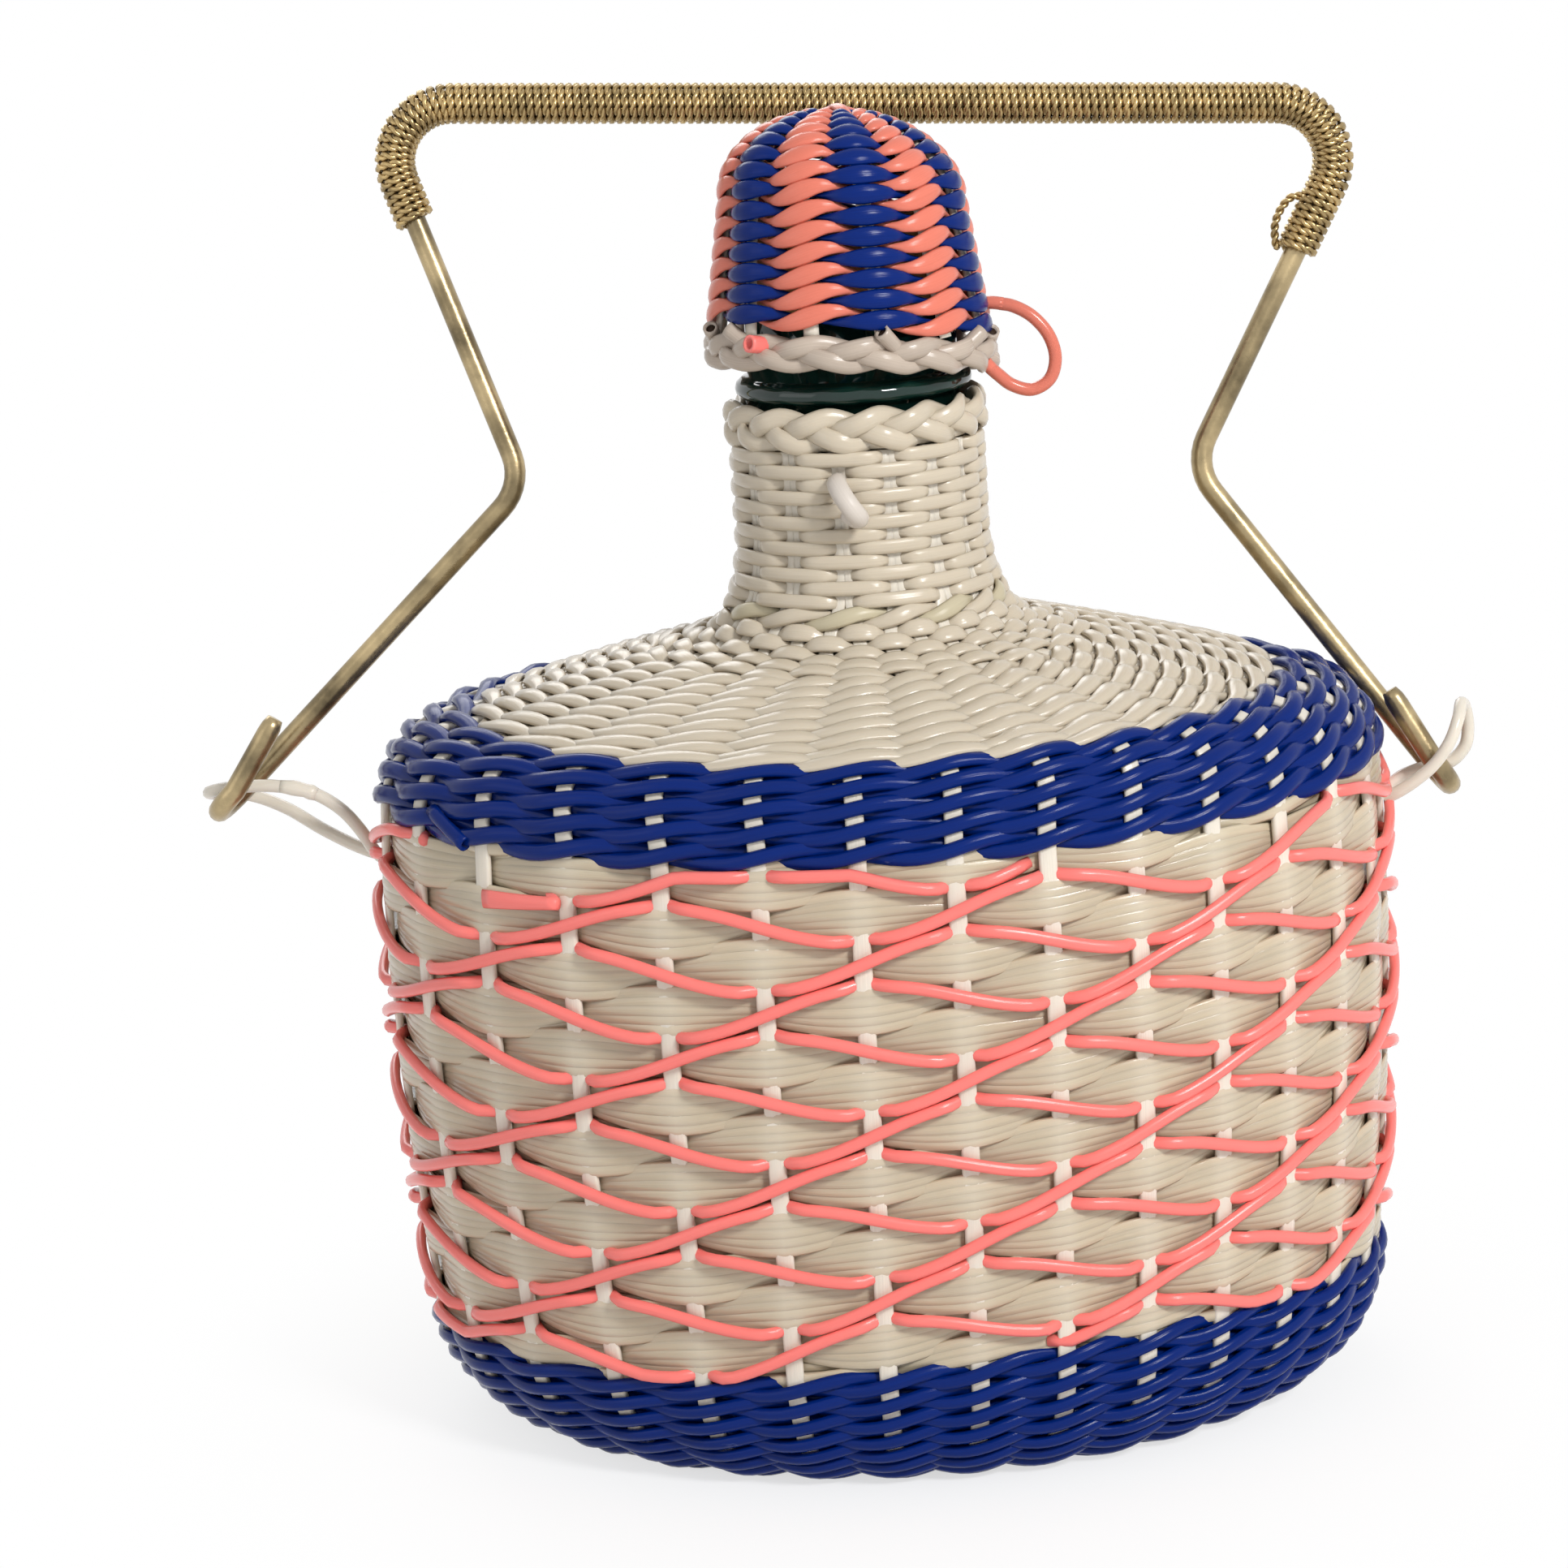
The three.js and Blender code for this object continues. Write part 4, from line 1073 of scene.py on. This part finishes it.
class BOTTLE_OT_neck(bpy.types.Operator):
    """Weave the neck over and under pairs of stakes, with its plaited collar and the tab"""

    bl_idname = "bottle.neck"
    bl_label = "Neck"

    def execute(self, context):
        surface = BodySurface()
        foot = surface.runs["shoulder"][1] - SHOULDER_MARGIN
        join = surface.at_height(157.0)
        top = surface.runs["neck"][1]
        self.add_rows(surface, "neck_foot_strand", foot, join, 7, np.asarray, 0.48, (3.6, 1.9), [])
        self.add_twined_row(surface, join + 1.7)
        self.add_rows(surface, "neck_strand", join + 3.4, top, 12, group_of, 0.25, (2.75, 0.5),
                      ["neck_weave"])
        self.add_backing(surface, foot, top)
        self.add_collar()
        self.add_tab()
        return {"FINISHED"}

    def add_rows(self, surface, name, low, high, rows, count, spread, widths, nodes):
        """One strand that goes over a stake, or a pair, and under the next, round after round."""
        gaps = (rows - STEP_SHARE) * STAKES
        x = np.linspace(0.0, gaps, int(gaps * 9) + 1)
        place = BACK_STAKE - x
        under = np.exp(-((np.mod(count(place), 2.0) - 1.0) / spread) ** 2)
        along = low + rounds(x) * (high - low) / rows
        points, normals = surface.points(place, along, 0.75 + 2.6 * under)
        mesh = StrandMesh()
        mesh.sweep(points, normals, widths[0] - widths[1] * under, 1.35, 10, 0.5, square=0.75)
        mesh.piece(name, cream_cord(), "bottle", nodes, "cream_cord")

    def add_backing(self, surface, low, high):
        """Level strands behind the stakes, against the glass."""
        mesh = StrandMesh()
        for level in np.arange(low - 1.0, high, 2.1):
            level_strand(surface, mesh, once_round(4), level, BACKING_DEPTH, 2.4, 0.5)
        mesh.piece("neck_backing", cream_cord(), "bottle", [], "cream_cord")

    def add_twined_row(self, surface, level):
        """One round of two strands, of which one is slightly green."""
        place = once_round(9)
        for strand, finish in enumerate((olive_cord(), cream_cord())):
            phase = math.pi * (group_of(place) + strand)
            depth = 2.0 - 1.2 * np.cos(phase)
            points, normals = surface.points(place, level + 1.0 * np.sin(phase), depth)
            mesh = StrandMesh()
            mesh.sweep(points, normals, 1.7 + 1.6 * (1.0 + np.cos(phase)) / 2.0, 1.5, 8, 0.5)
            mesh.piece(f"neck_twined_strand_{strand + 1}", finish, "bottle", [], "cream_cord")

    def add_collar(self):
        mesh = StrandMesh()
        plait(mesh, radius=22.9, height=192.3, repeats=5, rise=2.5, swing=1.2, width=4.0, thick=2.2)
        turn = np.linspace(0.0, 2.0 * math.pi, 73)[:, None]
        spokes = np.hstack([np.cos(turn), np.sin(turn), turn * 0.0])
        mesh.sweep(spokes * 21.9 + np.array([0.0, 0.0, 190.2]), spokes, 3.4, 2.2, 10, 0.5)
        mesh.piece("collar_plait", cream_cord(), "bottle", ["neck_collar"], "cream_cord")

    def add_tab(self):
        mesh = StrandMesh()
        mesh.sweep(smooth_route(TAB_ROUTE, 32), (1.0, 0.3, 0.6), 3.2, 3.8, 12, 0.5)
        mesh.piece("tab_cord", grey_white(), "bottle", ["neck_tab"], "white_cord")


def plait(mesh, radius, height, repeats, rise, swing, width, thick, settle=None):
    """A flat plait of three strands laid round a ring."""
    turn = np.linspace(0.0, 2.0 * math.pi, repeats * 36 + 1)
    for strand, tone in enumerate((0.35, 0.5, 0.65)):
        phase = repeats * turn + strand * 2.0 * math.pi / 3.0
        reach = radius + swing * np.sin(2.0 * phase)
        level = height + rise * np.arcsin(0.95 * np.sin(phase)) / math.asin(0.95)
        points = np.stack([reach * np.cos(turn), reach * np.sin(turn), level], axis=1)
        normals = np.stack([np.cos(turn), np.sin(turn), np.zeros_like(turn)], axis=1)
        mesh.sweep(settle(points) if settle else points, normals, width, thick, 10, tone)


class BOTTLE_OT_glass(bpy.types.Operator):
    """Blow the glass bottle: an oval body, a round neck, a bead and a lip"""

    bl_idname = "bottle.glass"
    bl_label = "Glass"

    def execute(self, context):
        surface = BodySurface()
        places = np.arange(GLASS_SIDES) * STAKES / GLASS_SIDES
        counts = {"base": 10, "wall": 6, "band": 10, "shoulder": 4, "fillet": 8}
        lengths = [np.linspace(*surface.runs[name], count, endpoint=False) for name, count in counts.items()]
        lengths = np.concatenate(lengths + [np.linspace(*surface.runs["neck"], 3)])
        neck = sizes().neck_radius / MM - GLASS_OUTER
        mouth = ((0.0, 196.9), (1.6, 197.1), (2.4, 197.9), (2.5, 198.8), (2.2, 199.8), (1.1, 200.7),
                 (0.0, 201.0), (0.0, 212.2), (-0.4, 213.1), (-1.2, 213.5), (-3.0, 213.5))
        bm = bmesh.new()
        rings = [surface.points(places, along, GLASS_OUTER)[0] for along in lengths]
        turn = surface.angle(places, surface.shoulder_top)
        for out, height in mouth:
            ring = [(neck + out) * np.cos(turn), (neck + out) * np.sin(turn), np.full(GLASS_SIDES, height)]
            rings.append(np.stack(ring, axis=1))
        rings += [surface.points(places, along, GLASS_INNER)[0] for along in lengths[::-1]]
        loops = []
        for ring in rings:
            corners = [bm.verts.new(place * MM) for place in ring]
            following = corners[1:] + corners[:1]
            loops.append([bm.edges.new(pair) for pair in zip(corners, following)])
        for lower, upper in zip(loops, loops[1:]):
            bmesh.ops.bridge_loops(bm, edges=lower + upper)
        for edges in (loops[0], loops[-1]):
            bmesh.ops.edgenet_fill(bm, edges=edges)
        bmesh.ops.recalc_face_normals(bm, faces=bm.faces[:])
        place_piece("glass_body", bm, green_glass(), "bottle", ["glass_bottle"])
        return {"FINISHED"}


class BOTTLE_OT_cork(bpy.types.Operator):
    """Turn the cork stopper"""

    bl_idname = "bottle.cork"
    bl_label = "Cork"

    def execute(self, context):
        profile = [(0.0, 189.5), (13.0, 189.5), (14.4, 189.9), (15.2, 191.0), (16.2, 213.6), (16.4, 213.8),
                   (18.8, 213.8), (19.8, 214.3), (20.2, 215.4), (20.2, 227.6), (19.6, 228.9), (18.4, 229.5),
                   (0.0, 229.5)]
        bm = bmesh.new()
        corners = [bm.verts.new((radius * MM, 0.0, height * MM)) for radius, height in profile]
        edges = [bm.edges.new(pair) for pair in zip(corners, corners[1:])]
        bmesh.ops.spin(bm, geom=corners + edges, cent=(0, 0, 0), axis=(0, 0, 1), angle=2.0 * math.pi,
                       steps=72, use_merge=True)
        bmesh.ops.remove_doubles(bm, verts=bm.verts[:], dist=1e-6)
        bmesh.ops.recalc_face_normals(bm, faces=bm.faces[:])
        place_piece("cork_plug", bm, cork_bark(), "stopper", ["cork_stopper"])
        return {"FINISHED"}


class HoodSurface(Outline):
    """Outline of the hood from its rim to its crown."""

    def __init__(self):
        side = np.linspace(0.0, 1.0, 30)[:, None] * (HOOD_WAIST - HOOD_FOOT) + HOOD_FOOT
        arc = np.linspace(0.0, math.pi / 2, 60)[1:]
        crown = np.stack([HOOD_WAIST[0] * np.cos(arc), HOOD_WAIST[1] + HOOD_DOME_RISE * np.sin(arc)], axis=1)
        self.line = np.vstack([side, crown])
        self.measure(self.line)

    def points(self, place, along, depth):
        radius, height = (np.interp(along, self.length, self.line[:, axis]) for axis in range(2))
        out, rise = self.facing(along)
        place = place - HOOD_TWIST * along / HOOD_TWIST_LENGTH
        angle = 2.0 * math.pi * place / HOOD_STAKES - math.pi / 2 - math.pi / HOOD_STAKES
        normals = np.stack([out * np.cos(angle), out * np.sin(angle), rise], axis=-1)
        points = np.stack([radius * np.cos(angle), radius * np.sin(angle), height], axis=-1)
        return askew(points - normals * np.asarray(depth)[..., None]), normals


def askew(points):
    """The hood sits a little high at the front and low on the right."""
    lift = np.asarray(points)[..., 0] * -0.07 + np.asarray(points)[..., 1] * -0.1
    return points + np.stack([lift * 0.0, lift * 0.0, lift], axis=-1)


class BOTTLE_OT_hood(bpy.types.Operator):
    """Twine the hood in blue and coral on white stakes, with its plaited rim and cut ends"""

    bl_idname = "bottle.hood"
    bl_label = "Hood"

    def execute(self, context):
        surface = HoodSurface()
        rows = 14.2
        steps = 10
        x = np.arange(int(rows * HOOD_STAKES * steps) + 1) / steps
        meshes = (StrandMesh(), StrandMesh())
        for strand, mesh in enumerate(meshes):
            phase = math.pi * (x + strand)
            front = np.cos(phase)
            row = x / HOOD_STAKES - (0.42, 0.12)[strand] * np.sin(phase)
            along = 1.6 + 3.85 * row - 0.11 * np.maximum(row - 9.0, 0.0) ** 2
            depth = 1.75 - 1.25 * sharpen(front, 0.6)
            points, normals = surface.points(6.0 - x, along, depth)
            lens = 1.0 + 2.75 * ((1.0 + front) / 2.0) ** 1.6
            crown = ease(38.0, 56.0, along)
            mesh.sweep(points, normals, lens * (1.0 - 0.4 * crown), 1.35, 10, 0.5)
        self.cross_crown(meshes)
        upper = smooth_route(((24.4, -1.7, 212.0), (26.6, -1.85, 212.1), (28.9, -2.05, 211.75)), 8)
        lower = smooth_route(((26.3, -5.3, 199.9), (25.2, -5.5, 201.2), (24.6, -5.6, 203.0)), 8)
        for points in (upper, lower):
            meshes[0].sweep(points, (0.0, 1.0, 0.0), 2.5, 2.5, 10, 0.5)
        meshes[1].piece("hood_blue_strand", blue_cord(), "hood", ["hood_weave"], "blue_cord")
        meshes[0].piece("hood_coral_strand", salmon_cord(), "hood", [], "coral_cord")
        self.add_stakes(surface)
        self.add_rim()
        return {"FINISHED"}

    def cross_crown(self, meshes):
        """Carry four strands over the very top."""
        reach = np.linspace(-7.0, 7.0, 22)
        crossings = ((1, 0.35, -2.2, 0.0), (0, 0.5, 1.2, 0.5), (1, 0.75, 3.4, 0.0), (0, 1.9, 0.0, 1.0))
        for strand, turn, shift, level in crossings:
            arch = 248.9 + level - 0.055 * reach ** 2
            points = np.stack([reach * math.cos(turn) - shift * math.sin(turn),
                               reach * math.sin(turn) + shift * math.cos(turn), arch], axis=1)
            meshes[strand].sweep(points, (0.0, 0.0, 1.0), 2.8, 1.5, 10, 0.6)

    def add_stakes(self, surface):
        mesh = StrandMesh()
        along = np.linspace(0.2, surface.length[-1] - 3.0, 40)
        for stake in range(HOOD_STAKES):
            points, normals = surface.points(stake, along, 2.2)
            slim = np.interp(along, [0.0, 30.0, along[-1]], [3.0, 2.8, 1.2])
            mesh.sweep(points, normals, slim, 1.3, 8, (stake * 0.41) % 1.0)
        mesh.piece("hood_stake_cords", white_cord(), "hood", [], "white_cord")

    def add_rim(self):
        mesh = StrandMesh()
        bore_shades = StrandMesh()
        plait(mesh, radius=25.6, height=204.2, repeats=5, rise=1.8, swing=1.25, width=3.6, thick=2.2,
              settle=askew)
        ends = ((-0.95, 1, 5.2), (1.25, 1, 4.4), (2.3, -1, 5.0), (3.4, 1, 4.6), (4.6, -1, 4.8), (5.9, 1, 4.6),
                (7.2, -1, 5.0), (8.5, 1, 4.4), (9.8, -1, 4.8))
        for place, side, reach in ends:
            points = self.cut_end(place, side, reach)
            mesh.sweep(points, self.outward(place), 3.1, 2.9, 12, 0.3, hollow=True)
            # A dark tube in each end's hollow: painted shade where the inside of the cut cord lies in shade.
            inner = points[4:] - unit(points[-1] - points[0]) * 0.5
            bore_shades.sweep(inner, self.outward(place), 2.1, 1.9, 10, 0.3)
        mesh.piece("rim_plait", grey_cord(), "hood", ["hood_rim"], "white_cord")
        bore_shades.piece("rim_bore_shades", painted_shade_bore(), "hood", [], "white_cord")
        end = StrandMesh()
        out = self.outward(-0.72)
        start = out * 24.6 + np.array([0.0, 0.0, 205.6])
        reach = np.linspace(0.0, 1.0, 8)[:, None]
        points = askew(start + (out * 4.4 + np.array([-0.9, 0.0, 0.4])) * reach)
        end.sweep(points, (0.0, 0.0, 1.0), 3.1, 3.3, 12, 0.6, hollow=True)
        end.piece("rim_coral_end", coral_cord(), "hood", [], "coral_cord")

    def outward(self, place):
        turn = 2.0 * math.pi * (place - 0.5) / HOOD_STAKES - math.pi / 2
        return np.array([math.cos(turn), math.sin(turn), 0.0])

    def cut_end(self, place, side, reach):
        """A cord that leaves the rim upwards and to one side."""
        out = self.outward(place)
        aside = np.array([-out[1], out[0], 0.0]) * side
        start = out * 25.0 + np.array([0.0, 0.0, 204.4])
        share = np.linspace(0.0, 1.0, 8)[:, None]
        return askew(start + (aside * -reach + out * 1.9 + np.array([0.0, 0.0, 4.2])) * share)


def bail_frame():
    """Turn and place of the bail's own frame."""
    reach = RIM_RADIUS + GRIP_RADIUS + BAIL_CLEARANCE - HINGE[1] - HOOK_RADIUS
    lean = math.asin(reach / BAIL_HEIGHT)
    turn = Matrix.Rotation(BAIL_TILT, 3, "Y") @ Matrix.Rotation(-lean, 3, "X")
    return np.array(turn), np.array(HINGE)


def corner_arc(before, corner, after, radius, count):
    back = unit(before - corner)
    onward = unit(after - corner)
    half = math.acos(float(np.dot(back, onward))) / 2
    start = corner + back * radius / math.tan(half)
    end = corner + onward * radius / math.tan(half)
    centre = corner + unit(back + onward) * radius / math.sin(half)
    sweep = math.pi - 2 * half
    spoke, other = start - centre, end - centre
    share = np.linspace(0.0, 1.0, count)[:, None]
    return centre + (np.sin((1 - share) * sweep) * spoke + np.sin(share * sweep) * other) / math.sin(sweep)


def bail_side(side, reach):
    """The rod from a hook's tip to its corner at the grip, that corner, and the bend of its leg."""
    crook = np.array([side * (HOOK_X + reach), 0.0, 0.0])
    back = np.array([0.0, HOOK_RADIUS, 0.0])
    rear = crook + back
    bend = np.array([side * BAIL_BEND_X, HOOK_RADIUS, BAIL_BEND_Z])
    corner = np.array([side * BAIL_CORNER_X + BAIL_BAR_SHIFT, HOOK_RADIUS,
                       BAIL_HEIGHT - side * BAIL_BAR_DROP])
    middle = np.array([BAIL_BAR_SHIFT, HOOK_RADIUS, BAIL_HEIGHT])
    down = unit(rear - bend)
    turn = np.linspace(math.pi, 0.0, 17)[:, None]
    hook = crook + back * np.cos(turn) + down * HOOK_RADIUS * np.sin(turn)
    lean = np.array([-side * math.sin(HOOK_RETURN_LEAN), 0.0, math.cos(HOOK_RETURN_LEAN)])
    tip = hook[0] + lean * HOOK_RETURN
    knee = corner_arc(rear, bend, corner, BAIL_BEND_ROUND, 14)
    shoulder = corner_arc(bend, corner, middle, BAIL_CORNER_ROUND, 18)
    return np.vstack([[tip], hook, knee, shoulder]), shoulder, knee[-1]


def even_path(points, spacing):
    """The line in even steps, and its length."""
    travel = travel_along(points)
    even = np.linspace(0.0, travel[-1], max(2, int(travel[-1] / spacing)))
    return between_points(even, travel, points), travel[-1]


class BOTTLE_OT_bail(bpy.types.Operator):
    """Bend the bail's rod and wind its grip with twisted gold cord"""

    bl_idname = "bottle.bail"
    bl_label = "Bail"

    def execute(self, context):
        left, left_corner, left_knee = bail_side(-1, HOOK_REACH_LEFT)
        right, right_corner, right_knee = bail_side(1, HOOK_REACH_RIGHT)
        turn, origin = bail_frame()
        wire = np.vstack([left, right[::-1]])
        route, _ = even_path(wire, 1.6)
        mesh = StrandMesh()
        thick = sizes().rod / MM
        swell = np.full(len(route), thick)
        swell[:2] = (thick * 0.72, thick * 0.94)
        swell[-2:] = (thick * 0.94, thick * 0.72)
        mesh.sweep(route @ turn.T + origin, self.rod_normals(route) @ turn.T, swell, swell, 14, 0.5)
        mesh.piece("bail_wire", worn_brass(), "bail", ["bail_rod"], "brass_rod")
        drop = [left_corner[0] + unit(left_knee - left_corner[0]) * GRIP_DROP_LEFT]
        rise = [right_corner[0] + unit(right_knee - right_corner[0]) * GRIP_DROP_RIGHT]
        grip = np.vstack([drop, left_corner, right_corner[::-1], rise])
        self.wind_grip(grip, turn, origin)
        return {"FINISHED"}

    def rod_normals(self, route):
        """Normals that stay square to the rod all along its hooks and bends."""
        tangents = unit(np.gradient(route, axis=0))
        normals = [unit(np.cross(tangents[0], [1.0, 0.0, 0.0]))]
        for tangent in tangents[1:]:
            last = normals[-1]
            normals.append(unit(last - tangent * np.dot(last, tangent)))
        return np.array(normals)

    def wind_grip(self, grip, turn, origin):
        line, length = even_path(grip, 0.25)
        tangents = unit(np.gradient(line, axis=0))
        side = np.array([0.0, 1.0, 0.0])
        across = unit(np.cross(tangents, side))
        count = GRIP_TURNS * 30 + 1
        angle = np.linspace(0.0, 2.0 * math.pi * GRIP_TURNS, count)
        pitch = length / GRIP_TURNS
        mesh = StrandMesh()
        for ply in range(2):
            twist = angle * 5.0 + ply * math.pi
            travel = np.linspace(pitch / 2, length - pitch / 2, count) + 0.4 * np.cos(twist)
            reach = 3.3 + 0.28 * np.sin(twist)
            spot = travel / length * (len(line) - 1)
            base = between_points(spot, np.arange(len(line)), line)
            aside = between_points(spot, np.arange(len(line)), across)
            spoke = side * np.cos(angle)[:, None] + unit(aside) * np.sin(angle)[:, None]
            points = base + spoke * reach[:, None]
            mesh.sweep(points @ turn.T + origin, spoke @ turn.T, 1.04, 1.0, 6, 0.4 + 0.2 * ply)
        self.add_slack(mesh, grip, turn, origin)
        mesh.piece("grip_cord", gold_cord(), "bail", ["grip_winding"], "gold_cord")

    def add_slack(self, mesh, grip, turn, origin):
        """A slack loop of the gold cord at the grip's right end."""
        down = unit(grip[-1] - grip[-2])
        inward = np.array([down[2], 0.0, -down[0]])
        inward = inward * -np.sign(inward[0])
        path = ((4.0, 3.4), (5.2, 5.2), (7.6, 6.0), (10.8, 5.9), (13.4, 4.8), (15.4, 3.4))
        route = smooth_route([grip[-2] + down * fall + inward * reach for fall, reach in path], 60)
        spin = np.linspace(0.0, 26.0, 60)
        tangents = unit(np.gradient(route, axis=0))
        across = unit(np.cross(tangents, [0.0, 1.0, 0.0]))
        for ply in range(2):
            wave = spin + ply * math.pi
            points = route + np.array([0.0, 1.0, 0.0]) * 0.4 * np.cos(wave)[:, None]
            points = points + across * 0.4 * np.sin(wave)[:, None]
            mesh.sweep(points @ turn.T + origin, (turn @ np.array([0.0, 1.0, 0.0])), 0.9, 0.9, 6, 0.5)


class BOTTLE_OT_stage(bpy.types.Operator):
    """Lay a pale floor and set soft studio light"""

    bl_idname = "bottle.stage"
    bl_label = "Stage"

    def execute(self, context):
        scene = context.scene
        scene.view_settings.view_transform = "Standard"
        bm = bmesh.new()
        bmesh.ops.create_grid(bm, x_segments=1, y_segments=1, size=14.0)
        mesh = bpy.data.meshes.new("floor")
        bm.to_mesh(mesh)
        bm.free()
        floor = bpy.data.objects.new("floor", mesh)
        scene.collection.objects.link(floor)
        mesh.materials.append(self.pale_floor())
        self.light_world(scene)
        self.add_lamp("key", (0.75, -0.95, 0.95), 0.3, 16.0)
        self.add_lamp("fill", (-1.1, -0.7, 0.55), 0.9, 1.6)
        self.add_lamp("back", (-0.3, 1.1, 0.9), 0.8, 5.0)
        return {"FINISHED"}

    def pale_floor(self):
        """Pale floor that keeps the shadow near the object and is plain white beyond it."""
        material, tree, shader = new_material("Pale Floor")
        shader.inputs["Base Color"].default_value = (0.96, 0.96, 0.96, 1.0)
        shader.inputs["Roughness"].default_value = 0.9
        shader.inputs["Specular IOR Level"].default_value = 0.1
        where = add_node(tree, "ShaderNodeTexCoord")
        reach = add_node(tree, "ShaderNodeVectorMath", operation="LENGTH")
        tree.links.new(where.outputs["Object"], reach.inputs[0])
        far = add_node(tree, "ShaderNodeMapRange", interpolation_type="SMOOTHSTEP")
        far.inputs["From Min"].default_value = -0.12
        far.inputs["From Max"].default_value = 0.17
        tree.links.new(reach.outputs["Value"], far.inputs["Value"])
        share = add_node(tree, "ShaderNodeMath", operation="MULTIPLY")
        tree.links.new(far.outputs["Result"], share.inputs[0])
        tree.links.new(self.seen_directly(tree), share.inputs[1])
        white = add_node(tree, "ShaderNodeEmission")
        white.inputs["Color"].default_value = (1.0, 1.0, 1.0, 1.0)
        white.inputs["Strength"].default_value = 1.0
        mix = add_node(tree, "ShaderNodeMixShader")
        tree.links.new(share.outputs[0], mix.inputs[0])
        tree.links.new(shader.outputs[0], mix.inputs[1])
        tree.links.new(white.outputs[0], mix.inputs[2])
        tree.links.new(mix.outputs[0], tree.nodes["Material Output"].inputs["Surface"])
        return material

    def seen_directly(self, tree):
        """One where a camera, glossy or transmission ray looks, and nought elsewhere."""
        path = add_node(tree, "ShaderNodeLightPath")
        first = add_node(tree, "ShaderNodeMath", operation="MAXIMUM")
        tree.links.new(path.outputs["Is Camera Ray"], first.inputs[0])
        tree.links.new(path.outputs["Is Glossy Ray"], first.inputs[1])
        second = add_node(tree, "ShaderNodeMath", operation="MAXIMUM")
        tree.links.new(first.outputs[0], second.inputs[0])
        tree.links.new(path.outputs["Is Transmission Ray"], second.inputs[1])
        return second.outputs[0]

    def light_world(self, scene):
        world = bpy.data.worlds.new("Studio")
        scene.world = world
        world.use_nodes = True
        tree = world.node_tree
        surround = tree.nodes["Background"]
        surround.inputs["Color"].default_value = (1.0, 1.0, 1.0, 1.0)
        surround.inputs["Strength"].default_value = 0.42
        white = add_node(tree, "ShaderNodeBackground")
        white.inputs["Color"].default_value = (1.0, 1.0, 1.0, 1.0)
        white.inputs["Strength"].default_value = 1.0
        mix = add_node(tree, "ShaderNodeMixShader")
        tree.links.new(self.seen_directly(tree), mix.inputs[0])
        tree.links.new(surround.outputs[0], mix.inputs[1])
        tree.links.new(white.outputs[0], mix.inputs[2])
        tree.links.new(mix.outputs[0], tree.nodes["World Output"].inputs["Surface"])

    def add_lamp(self, name, place, size, power):
        lamp = bpy.data.lights.new(name, "AREA")
        lamp.shape = "RECTANGLE"
        lamp.size = size
        lamp.size_y = size * 0.8
        lamp.energy = power
        piece = bpy.data.objects.new(name, lamp)
        piece.location = place
        aim = Vector((0.0, 0.0, 0.12)) - Vector(place)
        piece.rotation_euler = aim.to_track_quat("-Z", "Y").to_euler()
        bpy.context.scene.collection.objects.link(piece)


OPERATORS = (
    BOTTLE_OT_camera,
    BOTTLE_OT_cords,
    BOTTLE_OT_glass,
    BOTTLE_OT_stakes,
    BOTTLE_OT_wall,
    BOTTLE_OT_coral,
    BOTTLE_OT_bands,
    BOTTLE_OT_shoulder,
    BOTTLE_OT_neck,
    BOTTLE_OT_cork,
    BOTTLE_OT_hood,
    BOTTLE_OT_bail,
    BOTTLE_OT_stage,
)


class BOTTLE_PT_panel(bpy.types.Panel):
    """Lists the bottle's pieces and its sizes and colours"""

    bl_idname = "BOTTLE_PT_panel"
    bl_label = "Woven Cord Bottle"
    bl_space_type = "VIEW_3D"
    bl_region_type = "UI"
    bl_category = "Bottle"

    def draw(self, context):
        layout = self.layout
        for operator in OPERATORS:
            layout.operator(operator.bl_idname, text=operator.bl_label)
        for group in (context.scene.bottle_sizes, context.scene.bottle_colours):
            box = layout.box()
            for name in group.bl_rna.properties.keys():
                if name not in {"rna_type", "name"}:
                    box.prop(group, name)


CLASSES = (BottleSizes, BottleColours) + OPERATORS + (BOTTLE_PT_panel,)


def register():
    for item in CLASSES:
        bpy.utils.register_class(item)
    bpy.types.Scene.bottle_sizes = bpy.props.PointerProperty(type=BottleSizes)
    bpy.types.Scene.bottle_colours = bpy.props.PointerProperty(type=BottleColours)


def unregister():
    del bpy.types.Scene.bottle_colours
    del bpy.types.Scene.bottle_sizes
    for item in reversed(CLASSES):
        bpy.utils.unregister_class(item)


def main():
    register()
    for operator in OPERATORS:
        group, name = operator.bl_idname.split(".")
        result = getattr(getattr(bpy.ops, group), name)()
        if result != {"FINISHED"}:
            raise RuntimeError(operator.bl_label)


if __name__ == "__main__":
    main()
